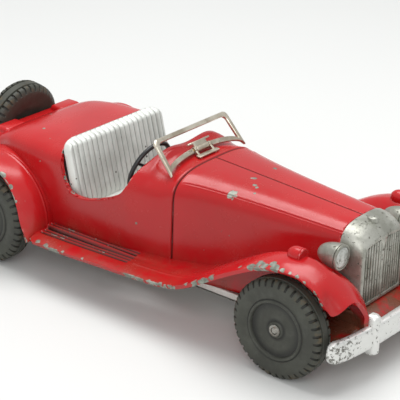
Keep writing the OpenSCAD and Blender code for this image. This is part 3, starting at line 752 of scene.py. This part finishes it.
def placed(origin, axis):
    """Placement with local z along an axis."""
    z = Vector(axis).normalized()
    x = Vector((1, 0, 0)) if abs(z.x) < 0.9 else Vector((0, 1, 0))
    x = (x - z * z.dot(x)).normalized()
    m = Matrix((x, z.cross(x), z)).transposed().to_4x4()
    m.translation = Vector(origin)
    return m


def loops_mesh(name, loops, material, body="root", cap=True, groove=None):
    """Skin over a stack of closed loops of points."""
    loops = np.asarray(loops, float)
    if cap:
        ends = [np.broadcast_to(loops[k].mean(0), loops[k].shape)[None] for k in (0, -1)]
        loops = np.concatenate([ends[0], loops, ends[1]])
        if groove is not None:
            groove = np.concatenate([groove[:1], groove, groove[-1:]])
    obj = add_mesh(name, loops.reshape(-1, 3), grid_faces(*loops.shape[:2], wrap=True), material, body)
    if groove is not None:
        mark(obj, "groove", groove.reshape(-1))
    return tidy_mesh(obj)


def lathe(name, profile, place, material, body="root", count=64, sharp=35):
    """Turned piece from (radius, height) points."""
    turn = circle(count)
    loops = [moved(xyz(r * np.cos(turn), r * np.sin(turn), h), place) for r, h in profile]
    obj = loops_mesh(name, loops, material, body, cap=False)
    smooth_by_angle(obj, sharp)
    return obj


def prism(name, outline, low, high, place, material, body="root", round_by=0.2, segments=2):
    """Flat outline drawn out along local z, with rounded edges."""
    n = len(outline)
    points = [(x, y, low) for x, y in outline] + [(x, y, high) for x, y in outline]
    faces = [tuple(reversed(range(n))), tuple(range(n, 2 * n))]
    faces += [(i, (i + 1) % n, n + (i + 1) % n, n + i) for i in range(n)]
    obj = add_mesh(name, moved(points, place), faces, material, body)
    tidy_mesh(obj)
    soften(obj, round_by, segments, 30)
    return obj


def block(name, low, high, material, body="root", round_by=0.3, segments=3):
    (x0, y0, z0), (x1, y1, z1) = low, high
    return prism(name, [(x0, y0), (x1, y0), (x1, y1), (x0, y1)], z0, z1, Matrix(), material, body, round_by,
                 segments)


def cut_boxes(obj, boxes):
    """Cuts boxes out of a piece; each box is (low, high)."""
    for k, (low, high) in enumerate(boxes):
        tool = block("cutter", low, high, STEEL, round_by=0.01, segments=1)
        mod = obj.modifiers.new("cut", "BOOLEAN")
        mod.operation = "DIFFERENCE"
        mod.solver = "EXACT"
        mod.object = tool
        graph = bpy.context.evaluated_depsgraph_get()
        mesh = bpy.data.meshes.new_from_object(obj.evaluated_get(graph))
        obj.modifiers.clear()
        obj.data = mesh
        bpy.data.objects.remove(tool)
    return obj


def by_angle(polygon, centre, angles):
    """Points where rays from a centre meet a polygon around it."""
    p = np.asarray(polygon, float) - centre
    q = np.roll(p, -1, axis=0)
    out = []
    for a in angles:
        d = np.array([math.cos(a), math.sin(a)])
        e = q - p
        det = d[0] * -e[:, 1] + d[1] * e[:, 0]
        det = np.where(np.abs(det) < 1e-9, 1e-9, det)
        t = (p[:, 0] * -e[:, 1] + p[:, 1] * e[:, 0]) / det
        u = (d[0] * p[:, 1] - d[1] * p[:, 0]) / det
        hit = t[(t > 0) & (u >= -1e-6) & (u <= 1 + 1e-6)]
        out.append(np.asarray(centre) + d * (hit.min() if len(hit) else 1.0))
    return np.array(out)


# ---- body: small cast pieces

def cast_details():
    """Apron, pan, tank and side lamps, cast in one with the body."""
    prism("apron", [(NOSE_Y + 1, 15.2), (NOSE_Y + 1, 22.5), (-97.2, 22.5), (-103.8, 19.4), (-103.8, 15.2)], -16.9, 16.9,
          ALONG_X, RED, round_by=0.6)
    prism("pan", [(NOSE_Y + 1.5, 15.4), (NOSE_Y + 1.5, 17.7), (-98.6, 17.7), (-101.1, 15.4)], -30.9, 30.9,
          ALONG_X, RED, round_by=0.5)
    block("tank", (-24.9, 85.1, 44.2), (24.9, 94.4, 51.1), RED, round_by=1.4, segments=4)
    for x in (-24, 11):
        block("tank_pad", (x, 84.7, 45), (x + 13, 92.5, 53.3), RED, round_by=1.7, segments=4)
    dome = [(0.001, -4.2)] + [(3.3 * math.cos(math.radians(a)), 4.2 * math.sin(math.radians(a)))
                              for a in range(-84, 1, 7)]
    dome += [(3.3, 2.0), (3.05, 2.25), (3.3, 2.5), (3.1, 2.95), (2.5, 3.0), (2.3, 2.7), (0.001, 2.7)]
    for x in (-36, 36):
        lamp = lathe("side_lamp", dome, placed((x, -80.5, 50), (0, -1, 0)), RED, count=40)
        mark(lamp, "wear", np.full(len(lamp.data.vertices), 0.55))
        block("side_lamp_foot", (x - 1.2, -82.4, 45.6), (x + 1.2, -78.1, 48.6), RED, round_by=0.4)


# ---- radiator and lamps

def shell_outline(w, low_w, zc, zt, n, z_low):
    a = np.linspace(0, math.pi / 2, 40)
    x = w * np.cos(a) ** (2 / n)
    x[-1] = 0
    z = zc + (zt - zc) * np.sin(a) ** (2 / n)
    right = [(low_w, z_low)] + list(zip(x, z))
    return right + [(-u, v) for u, v in reversed(right[:-1])]


def radiator():
    centre = (0, 38)
    angles = circle(180)
    stations = [(-86.1, 15.9, 15.6, 45, 56.5, 3.3, 22.9), (-88, 15.9, 15.6, 45, 56.3, 3.3, 22.9),
                (-90, 15.8, 15.6, 45, 55.8, 3.3, 22.9), (-92, 15.55, 15.4, 44.5, 54.9, 3.35, 22.9),
                (-93.6, 15.25, 15.2, 44, 53.8, 3.4, 22.9), (-94.8, 14.95, 15.1, 43.6, 52.6, 3.5, 22.95),
                (-95.6, 14.7, 14.9, 43.2, 51.7, 3.6, 23.1), (-96.1, 14.4, 14.6, 43, 51.1, 3.6, 23.3),
                (-96.35, 14.0, 14.2, 43, 50.7, 3.6, 23.6)]
    opening = [(12.9, 24.9), (12.9, 46.5), (12.5, 48.0), (11.4, 48.9), (0, 49.5), (-11.4, 48.9), (-12.5, 48.0),
               (-12.9, 46.5), (-12.9, 24.9)]
    loops, dark = [], [0.0] * len(stations)
    for y, *shape in stations:
        flat = by_angle(shell_outline(*shape), centre, angles)
        loops.append(xyz(flat[:, 0], y, flat[:, 1]))
    inner = by_angle(opening, centre, angles)
    outer = loops[-1][:, [0, 2]]
    # The last loops step into the recess behind the slats; their tones mark it for painted shade.
    for y, share, tone in ((-96.4, 0.5, 0), (-96.38, 0.9, 0), (-96.2, 1.0, 0.2), (-95.6, 1.0, 0.9), (-94.5, 1.0, 1),
                           (-94.5, 1.2, 1)):
        flat = outer + (inner - outer) * min(share, 1)
        if share > 1:
            flat = np.asarray(centre) + (inner - centre) * 0.5
        loops.append(xyz(flat[:, 0], y, flat[:, 1]))
        dark.append(float(tone))
    groove = np.repeat(np.array(dark)[:, None], len(angles), axis=1)
    shell = loops_mesh("radiator_shell", loops, PLATING, groove=groove)
    smooth_by_angle(shell, 45)
    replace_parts(shell, "radiator_grille")
    for side in (-1, 1):
        for i in range(7):
            x = side * (1.6 + 1.74 * i + 0.45)
            front = -96.3 + 0.09 * i
            prism("slat", [(-0.45, 0.35), (-0.25, 0.0), (0.25, 0.0), (0.45, 0.35), (0.45, 1.9), (-0.45, 1.9)],
                        24.5, 48.9, Matrix.Translation((x, front, 0)), PLATING, round_by=0.12)
    prism("centre_bar", [(-0.95, 0.5), (-0.55, 0.0), (0.55, 0.0), (0.95, 0.5), (0.95, 1.9), (-0.95, 1.9)], 24.0,
          49.6, Matrix.Translation((0, -96.4, 0)), PLATING, round_by=0.2)
    prism("bar_wedge", [(-2.4, 49.8), (2.4, 49.8), (0.9, 46.2), (-0.9, 46.2)], -96.38, -95.2,
          Matrix(((1, 0, 0, 0), (0, 0, 1, 0), (0, 1, 0, 0), (0, 0, 0, 1))), PLATING,
          round_by=0.25)
    lathe("radiator_cap", [(0.001, 0), (2.3, 0), (2.3, 1.3), (2.1, 1.9), (1.5, 2.2), (0.001, 2.35)],
          placed((0, -90.4, 54.65), (0, 0, 1)), PLATING, count=40)


def headlamps():
    bullet = [(0.001, -9.55)] + [(5.25 * math.cos(math.radians(a)) ** 0.9, 9.55 * math.sin(math.radians(a)))
                                 for a in range(-86, 1, 5)]
    rim = [(5.2, 0.1), (4.85, 0.25), (4.85, 0.4), (5.28, 0.55), (5.28, 0.95), (4.95, 1.3), (4.45, 1.35)]
    lens = [(4.4, 0.95)] + [(4.35 * math.sin(a), 0.95 + 0.82 * math.cos(a)) for a in np.linspace(1.45, 0.05, 12)]
    for side in (-1, 1):
        at = placed((side * 22.7, -90.9, 47.6), (0, -1, 0))
        lamp = lathe("headlamp", bullet + rim + [(4.4, 0.9), (0.001, 0.9)], at, PLATING)
        z = np.array([v.co.y for v in lamp.data.vertices]) / MM
        # The fine groove round the rim is marked for painted shade.
        mark(lamp, "groove", np.exp(-((z + 91.23) / 0.12) ** 2))
        lathe("lamp_lens", [(0.001, 0.7), (4.4, 0.7)] + lens + [(0.001, 1.77)], at, LENS)
        stalk = [(0.001, 0), (1.5, 0.01), (1.45, 3), (1.4, 5.5), (1.5, 8.4), (0.001, 8.5)]
        lathe("lamp_stalk", stalk, placed((side * 14.2, -87.6, 46.4), (side, 0, 0)), PLATING,
              count=32)


def bumper():
    front_y = spline([0, 16, 30, 38, 42.6, 44.2], [-108.6, -108.2, -107, -105.6, -103.8, -101.8])
    rear_y = spline([0, 16, 29, 37, 42.4, 44.2], [-104.1, -104.1, -103.4, -102.2, -100.7, -101.5])
    xs = spans((-44.15, -39, 16), (-38, 38, 90), (39, 44.15, 16))
    turn = circle(40)
    c, s = np.cos(turn), np.sin(turn)
    c, s = np.sign(c) * np.abs(c) ** 0.55, np.sign(s) * np.abs(s) ** 0.55
    loops = []
    for x in xs:
        a, b = float(front_y(abs(x))), float(rear_y(abs(x)))
        tall = 4.75 * math.sqrt(max(0.0, 1 - (max(0.0, abs(x) - 40.2) / 4.1) ** 2))
        y = (a + b) / 2 + (a - b) / 2 * c
        loops.append(xyz(x, y, 18 + tall * s))
    bar = loops_mesh("bumper_bar", loops, PITTED)
    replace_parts(bar, "front_bumper")
    shape = [(-2.5, 2.2), (-2.55, -0.4), (-2.0, -1.3), (-0.7, -2.15), (0, -2.28), (0.7, -2.15), (2.0, -1.3),
             (2.55, -0.4), (2.5, 2.2)]
    for side in (-1, 1):
        loops = []
        for z, size in ((9.9, 0.55), (10.05, 0.75), (10.5, 0.92), (11.2, 1.0), (18, 1.0), (24.6, 1.0), (25.7, 0.93),
                        (26.4, 0.78), (26.72, 0.5)):
            loops.append([(side * 19 + u * size, -106.6 + (v - 2.2) * size + 2.2, z) for u, v in shape])
        guard = loops_mesh("over_rider", loops, PITTED)
        smooth_by_angle(guard, 38)


# ---- windscreen

HINGE = (0, -5, 62.3)
SCREEN = Matrix.Translation(HINGE) @ Matrix.Rotation(math.radians(48), 4, "X")


def screen_loop(inset):
    """Outline of the frame, moved inwards from its edge."""
    share = inset / 2.1
    w, top, corner = 24.6 - inset, 10.4 - inset, 2.4 - 0.5 * share
    foot, crest = -6.4 + 3.2 * share, -1.1 + 2.3 * share
    points = [(w * math.sin(a), foot + (crest - foot) * math.cos(a)) for a in np.linspace(-math.pi / 2,
                                                                                       math.pi / 2, 60)]
    side = w - 0.6
    points += [(w + (side - w) * t, foot + (top - corner - foot) * t) for t in np.linspace(0.05, 0.95, 16)]
    points += arc(side - corner, top - corner, corner, 0, math.pi / 2, 10)
    points += [((side - corner) * t, top) for t in np.linspace(0.97, -0.97, 50)]
    points += arc(corner - side, top - corner, corner, math.pi / 2, math.pi, 10)
    points += [(-side - (w - side) * t, top - corner + (foot - top + corner) * t)
               for t in np.linspace(0.05, 0.95, 16)]
    return np.array(points)


def windscreen():
    loops = []
    for inset, z in ((0.25, -0.7), (0.05, -0.5), (0.0, 0.0), (0.05, 0.5), (0.25, 0.7), (1.85, 0.7), (2.05, 0.5),
                     (2.1, 0), (2.05, -0.5), (1.85, -0.7), (0.25, -0.7)):
        flat = screen_loop(inset)
        loops.append(xyz(*flat.T, z))
    loops = np.array(loops)
    rim = loops_mesh("screen_rim", loops, NICKEL, "windscreen", cap=False)
    cut_boxes(rim, [((x, -3, -3), (x + 2.1, 2.6, 3)) for x in (-6.1, 4.0)])
    place = SCREEN.copy()
    place.translation *= MM
    rim.data.transform(place)
    smooth_by_angle(rim, 40)
    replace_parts(rim, "windscreen_frame")
    tongue = [(-6.95, 2.6), (-4.0, 2.6), (-4.0, -0.85), (4.0, -0.85), (4.0, 2.6), (6.95, 2.6), (6.95, 3.35),
              (-6.95, 3.35)]
    prism("screen_tongue", tongue, -0.68, 0.68, SCREEN, NICKEL, "windscreen", 0.2)
    tube = [(0.76, -3.9), (1.2, -3.9), (1.34, -3.75), (1.34, 3.75), (1.2, 3.9), (0.76, 3.9), (0.76, -3.9)]
    lathe("screen_knuckle", tube, placed(HINGE, (1, 0, 0)), NICKEL, "windscreen", 40)

    pad = block("screen_bracket", (-6.55, -9.75, 60.47), (6.55, -7.42, 61.18), NICKEL, round_by=0.25)
    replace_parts(pad, "windscreen_bracket")
    for side in (-1, 1):
        x = side * 4.8
        ear = [(-8, 60.47), (-6.6, 60.47), (-5.5, 61.1), (-5, 61.8), (-5, 62.6), (-6.2, 62.48), (-8, 61.18)]
        prism("bracket_ear", ear, x - 0.58, x + 0.58, ALONG_X, NICKEL, round_by=0.15)
        tube = [(0.72, -0.6), (1.2, -0.6), (1.33, -0.5), (1.33, 0.5), (1.2, 0.6), (0.72, 0.6), (0.72, -0.6)]
        lathe("bracket_knuckle", tube, placed((x, -5, 62.3), (1, 0, 0)), NICKEL, count=40)
        lathe("bracket_leg", [(0.001, 52.1), (0.74, 52.1), (0.74, 60.6), (0.001, 60.6)],
              placed((x, -8.6, 0), (0, 0, 1)), NICKEL, count=20)
    pin = [(0.001, -5.79), (0.5, -5.75), (0.68, -5.6), (0.68, 5.6), (0.5, 5.75), (0.001, 5.79)]
    pin = lathe("screen_pin", pin, placed(HINGE, (1, 0, 0)), BRASS, count=32)
    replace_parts(pin, "windscreen_pin")


# ---- seat and steering

def seat():
    ribs, pitch = 19, 2.989
    half = spline([0, 12, 25, 27.8, 29.4, 30], [28.8, 30.8, 30.7, 29.8, 27.4, 24.8])
    rise = spans((0, 24, 9), (25, 30, 16))
    place = Matrix.Translation((0, 42.9, 61)) @ Matrix.Rotation(math.radians(-14), 4, "X") @ Matrix.Translation(
        (0, 0, -30))
    xs = np.linspace(-30.8, 30.8, 253)
    back = np.linspace(30.8, -30.8, 12)
    loops, groove = [], []
    for z in rise:
        w = float(half(z))
        rounding = 3.4 * (1 - math.sqrt(max(0.0, 1 - max(0.0, (z - 26.2) / 3.8) ** 2)))
        x = np.clip(xs, -w, w)
        k = np.clip(np.round(x / pitch), -(ribs // 2), ribs // 2)
        d = (x - k * pitch) / (pitch / 2)
        fade = (0.35 + 0.65 * smooth((29.8 - z) / 3.0)) * smooth(z / 0.8)
        bulge = np.where(np.abs(x) < ribs * pitch / 2, 1.35 * np.sqrt(np.clip(1 - d * d, 0.0, 1)), 0.75) * fade
        side = 2.2 * np.clip((np.abs(x) - (w - 1.3)) / 1.3, 0, 1) ** 2.2
        y = -bulge + np.minimum(side + rounding, 2.5)
        loops.append(np.concatenate([xyz(x, y, z), xyz(np.clip(back, -w, w), 2.55, z)]))
        # The valleys between the ribs are marked for painted shade.
        valley = np.where(np.abs(x) < ribs * pitch / 2, np.clip((np.abs(d) - 0.72) / 0.28, 0, 1), 0) * fade
        groove.append(np.concatenate([valley, np.zeros(12)]))
    loops = np.array([moved(loop, place) for loop in loops])
    panel = loops_mesh("seat_back", loops, SILVER, groove=np.array(groove))
    smooth_by_angle(panel, 50)
    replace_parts(panel, "seat")
    block("seat_bench", (-27.9, 16.1, 29.1), (27.9, 36.9, 32.3), SILVER, round_by=1.0)
    block("seat_panel", (-19.9, 16.1, 12.4), (19.9, 17.9, 30.2), SILVER, round_by=0.3)
    for i in range(1, 18):
        x = -27.9 + i * 3.1
        block("bench_rib", (x - 1.15, 18.5, 31.6), (x + 1.15, 34.5, 32.35), SILVER,
              round_by=0.5, segments=2)


COLUMN = Matrix.Translation((-15, -4, 48.6)) @ Matrix.Rotation(math.radians(18 - 90), 4, "X")


def steering():
    at = COLUMN @ Matrix.Translation((0, 0, 15.2))
    turn = circle(96)
    across = circle(20)
    loops = []
    for a in across:
        r = 11.9 + 0.99 * math.cos(a)
        # Finger grips on the back of the rim.
        dent = 0.10 * np.cos(turn * 32) if math.sin(a) < -0.3 else 0 * turn
        loops.append(xyz(r * np.cos(turn), r * np.sin(turn), 0.99 * math.sin(a) + np.abs(dent)))
    loops.append(loops[0])
    rim = loops_mesh("steering_rim", moved(np.array(loops).reshape(-1, 3), at).reshape(len(loops), -1, 3), BLACK,
                     "steering", cap=False)
    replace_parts(rim, "steering_wheel")
    lathe("steering_hub", [(1.2, -1.5), (2.4, -1.5), (2.6, -1.2), (2.5, 0.9), (2.0, 1.45), (1.2, 1.5), (1.2, -1.5)],
          at, BLACK, "steering", 40)
    for degrees in (90, 210, 330):
        spoke = [(1.6, -0.75), (11.4, -0.55), (11.4, 0.55), (1.6, 0.75)]
        prism("steering_spoke", spoke, -0.5, 0.5, at @ Matrix.Rotation(math.radians(degrees), 4, "Z"), BLACK,
              "steering", 0.25)
    rod = lathe("column", [(0.001, 0.45), (1.18, 0.45), (1.18, 16.7), (1.88, 16.75), (1.88, 17.2), (1.4, 17.42),
                           (0.001, 17.44)], COLUMN, STEEL, "steering", 40)
    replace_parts(rod, "steering_column")


# ---- wheels and axles

LUGS = 38
LUG_STEPS = (0.0, 0.07, 0.29, 0.36, 0.5, 0.57, 0.79, 0.86)
# Outline of a tyre from the inner face round to the outer face: radius, distance from the inner face, place.
TYRE = [(1.56, 1.05, ""), (9, 1.05, ""), (11, 0.15, ""), (17, 0.03, ""), (18.0, 0.15, ""), (18.9, 0.5, "in"),
        (19.7, 0.9, "in"), (20.35, 1.6, "in"), (20.6, 2.3, "in"), (20.6, 2.8, "in"), (20.45, 2.95, ""),
        (19.8, 3.05, "g"), (19.8, 3.45, "g"), (20.45, 3.55, ""), (20.66, 3.72, ""), (20.68, 5.1, ""),
        (20.66, 6.48, ""), (20.45, 6.65, ""), (19.8, 6.75, "g"), (19.8, 7.15, "g"), (20.45, 7.25, ""),
        (20.6, 7.4, "out"), (20.6, 7.9, "out"), (20.35, 8.6, "out"), (19.7, 9.3, "out"), (18.9, 9.7, "out"),
        (18.0, 10.03, ""), (17.2, 10.14, ""), (16.0, 10.1, ""), (14.6, 9.9, ""), (13.1, 9.72, ""), (12.8, 9.55, "g"),
        (12.55, 9.65, "g"), (12.4, 9.95, ""), (12.2, 10.14, ""), (11.9, 10.17, ""), (11.6, 10.14, ""),
        (11.35, 9.9, ""), (11.2, 9.4, ""), (10.95, 8.9, "g"), (10.2, 8.75, "g"), (8, 8.72, ""), (5, 8.7, ""),
        (3.9, 8.68, "g"), (3.55, 8.8, "g"), (3.35, 9.1, ""), (3.1, 9.34, ""), (2.6, 9.38, ""), (1.56, 9.38, "")]


def tyre(name, place, body, node):
    turn = np.array([(k + s) / LUGS * 2 * math.pi for k in range(LUGS) for s in LUG_STEPS])
    phase = np.tile(np.array(LUG_STEPS), LUGS)
    notch = {"out": ((phase > 0.05) & (phase < 0.31)).astype(float),
             "in": ((phase > 0.55) & (phase < 0.81)).astype(float)}
    loops, groove = [], []
    for r, h, kind in TYRE:
        cutin = notch.get(kind, np.zeros(len(turn)))
        radius = r - 0.75 * cutin
        loops.append(xyz(radius * np.cos(turn), radius * np.sin(turn), h))
        # The lug notches and grooves are marked for painted shade.
        groove.append(np.maximum(cutin, 1.0 if kind == "g" else 0.0))
    loops.append(loops[0])
    groove.append(groove[0])
    loops = moved(np.array(loops).reshape(-1, 3), place).reshape(len(loops), -1, 3)
    obj = loops_mesh(name, loops, RUBBER, body, cap=False, groove=np.array(groove))
    flat = np.array([v.co[:] for v in obj.data.vertices]) / MM
    away = flat - np.array(place.translation)
    axis = np.array(place.col[2][:3])
    off = np.linalg.norm(away - np.outer(away @ axis, axis), axis=1)
    mark(obj, "tread", smooth((off - 17.5) / 2.0))
    smooth_by_angle(obj, 42)
    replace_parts(obj, node)


def wheels_and_axles():
    for side, word in ((1, "left"), (-1, "right")):
        for y, end, body in ((FRONT_Y, "front", "front_" + word), (REAR_Y, "rear", "rear_wheelset")):
            tyre(f"{end}_tyre_{word}", placed((side * 36.0, y, AXLE_Z), (side, 0, 0)), body,
                 f"{end}_wheel_{word}")
    for y, end, body in ((FRONT_Y, "front", "root"), (REAR_Y, "rear", "rear_wheelset")):
        rod = [(0.001, -45.88), (1.1, -45.88), (1.49, -45.6), (1.49, 45.6), (1.1, 45.88), (0.001, 45.88)]
        axle = lathe(f"{end}_axle_rod", rod, placed((0, y, AXLE_Z), (1, 0, 0)), STEEL, body, 40)
        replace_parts(axle, f"{end}_axle")
        caps = []
        for side in (-1, 1):
            ring = [(1.5, 45.5), (2.4, 45.5), (2.48, 45.65), (2.35, 45.9), (1.9, 46.02), (1.5, 45.98), (1.5, 45.5)]
            caps.append(lathe(f"{end}_cap", ring, placed((0, y, AXLE_Z), (side, 0, 0)), STEEL, body, 40))
        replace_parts(caps[0], f"{end}_axle_caps")
    stud_axis = (0, math.cos(math.radians(8.5)), math.sin(math.radians(8.5)))
    stud = placed((0, 93.5, 43.4), stud_axis)
    tyre("spare_tyre", stud @ Matrix.Translation((0, 0, 2.6)), "spare", "spare_wheel")
    post = [(0.001, -3.95), (1.49, -3.95), (1.49, 1.72), (3.38, 1.75), (3.38, 2.5), (1.49, 2.52), (1.49, 12.1),
            (2.85, 12.12), (2.85, 12.55), (2.3, 12.78), (0.001, 12.8)]
    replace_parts(lathe("spare_post", post, stud, STEEL, "root", 40), "spare_stud")


def base():
    plate = block("base_sheet", (-21.95, -94.95, 11.05), (21.95, 89.95, 12.15), TINPLATE,
                  round_by=0.3)
    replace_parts(plate, "base_plate")
    for side in (-1, 1):
        low, high = sorted((side * 21, side * 21.95))
        block("base_flange", (low, -94.9, 11.1), (high, 89.9, 14.55), TINPLATE, round_by=0.25)
        for y in (FRONT_Y, REAR_Y):
            outline = [(y - 4, 11.3), (y + 4, 11.3)] + arc(y, AXLE_Z, 4, 0, math.pi, 20)
            prism("axle_ear", outline, side * 20 - 0.75, side * 20 + 0.75, ALONG_X, TINPLATE)
        for x, y in ((10, -40), (17.2, 50)):
            lathe("screw_head", [(0.001, 0.02), (2.35, 0.02), (1.2, 1.15), (1.13, 1.2), (1.13, 10.9), (0.001, 10.9)],
                  placed((side * x, y, 11), (0, 0, 1)), STEEL, count=32)
    # A turned rim hides the cut end of each screw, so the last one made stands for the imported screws.
    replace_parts(bpy.data.objects["screw_head"], "base_screws")


INSIDE = {"column_clip": STEEL, "motor_plate_left": TINPLATE, "motor_plate_right": TINPLATE, "motor_posts": STEEL,
          "axle_gear": BRASS, "idler_shaft": STEEL, "idler_gear": BRASS, "idler_pinion": BRASS,
          "flywheel": FLYWHEEL, "flywheel_shaft": STEEL, "flywheel_pinion": BRASS}


def inside_pieces():
    """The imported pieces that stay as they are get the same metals."""
    for name, material in INSIDE.items():
        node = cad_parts[name]
        node.data.materials.clear()
        node.data.materials.append(material)


cast_details()
radiator()
headlamps()
bumper()
windscreen()
seat()
steering()
wheels_and_axles()
base()
inside_pieces()


# ---- stage

def look_matrix(eye, target, roll):
    """Camera pose, with a roll about the line of sight in radians."""
    ahead = (Vector(target) - Vector(eye)).normalized()
    level = ahead.cross(Vector((0, 0, 1))).normalized()
    up = level.cross(ahead)
    right = level * math.cos(roll) + up * math.sin(roll)
    up = right.cross(ahead)
    turn = Matrix((right, up, -ahead)).transposed().to_4x4()
    return Matrix.Translation(Vector(eye)) @ turn


def camera():
    data = bpy.data.cameras.new("camera")
    data.lens = 146.2
    data.sensor_width = 36
    data.clip_start = 0.01
    obj = link("camera", data)
    obj.matrix_world = look_matrix((-0.49371, -0.39078, 0.31482), (-0.00511, -0.00905, 0.04113), 0.03)
    bpy.context.scene.camera = obj


def floor():
    size = 4.0
    mesh = bpy.data.meshes.new("floor")
    mesh.from_pydata([(-size, -size, 0), (size, -size, 0), (size, size, 0), (-size, size, 0)], [], [(0, 1, 2, 3)])
    s = Shader("floor")
    tone = s.noise(3, 2, 0.5)
    s.set(Base_Color=s.mix(tone, (0.665, 0.67, 0.655), (0.69, 0.695, 0.68)), Roughness=0.55)
    mesh.materials.append(s.material)
    link("floor", mesh)


def area_light(name, place, target, size, power):
    data = bpy.data.lights.new(name, "AREA")
    data.shape = "RECTANGLE"
    data.size, data.size_y = size
    data.energy = power
    obj = link(name, data)
    obj.location = place
    obj.rotation_euler = (Vector(target) - Vector(place)).to_track_quat("-Z", "Y").to_euler()


def lights():
    world = bpy.data.worlds.new("studio")
    world.use_nodes = True
    back = world.node_tree.nodes["Background"]
    back.inputs["Color"].default_value = (0.93, 0.94, 0.95, 1)
    back.inputs["Strength"].default_value = 0.66
    bpy.context.scene.world = world
    area_light("key", (0.12, 0.05, 0.85), (0, 0, 0), (0.75, 0.6), 7.0)
    area_light("fill", (-0.75, -0.45, 0.6), (0, 0, 0.03), (0.5, 0.5), 3.2)


camera()
floor()
lights()
bpy.context.scene.view_settings.view_transform = "Standard"
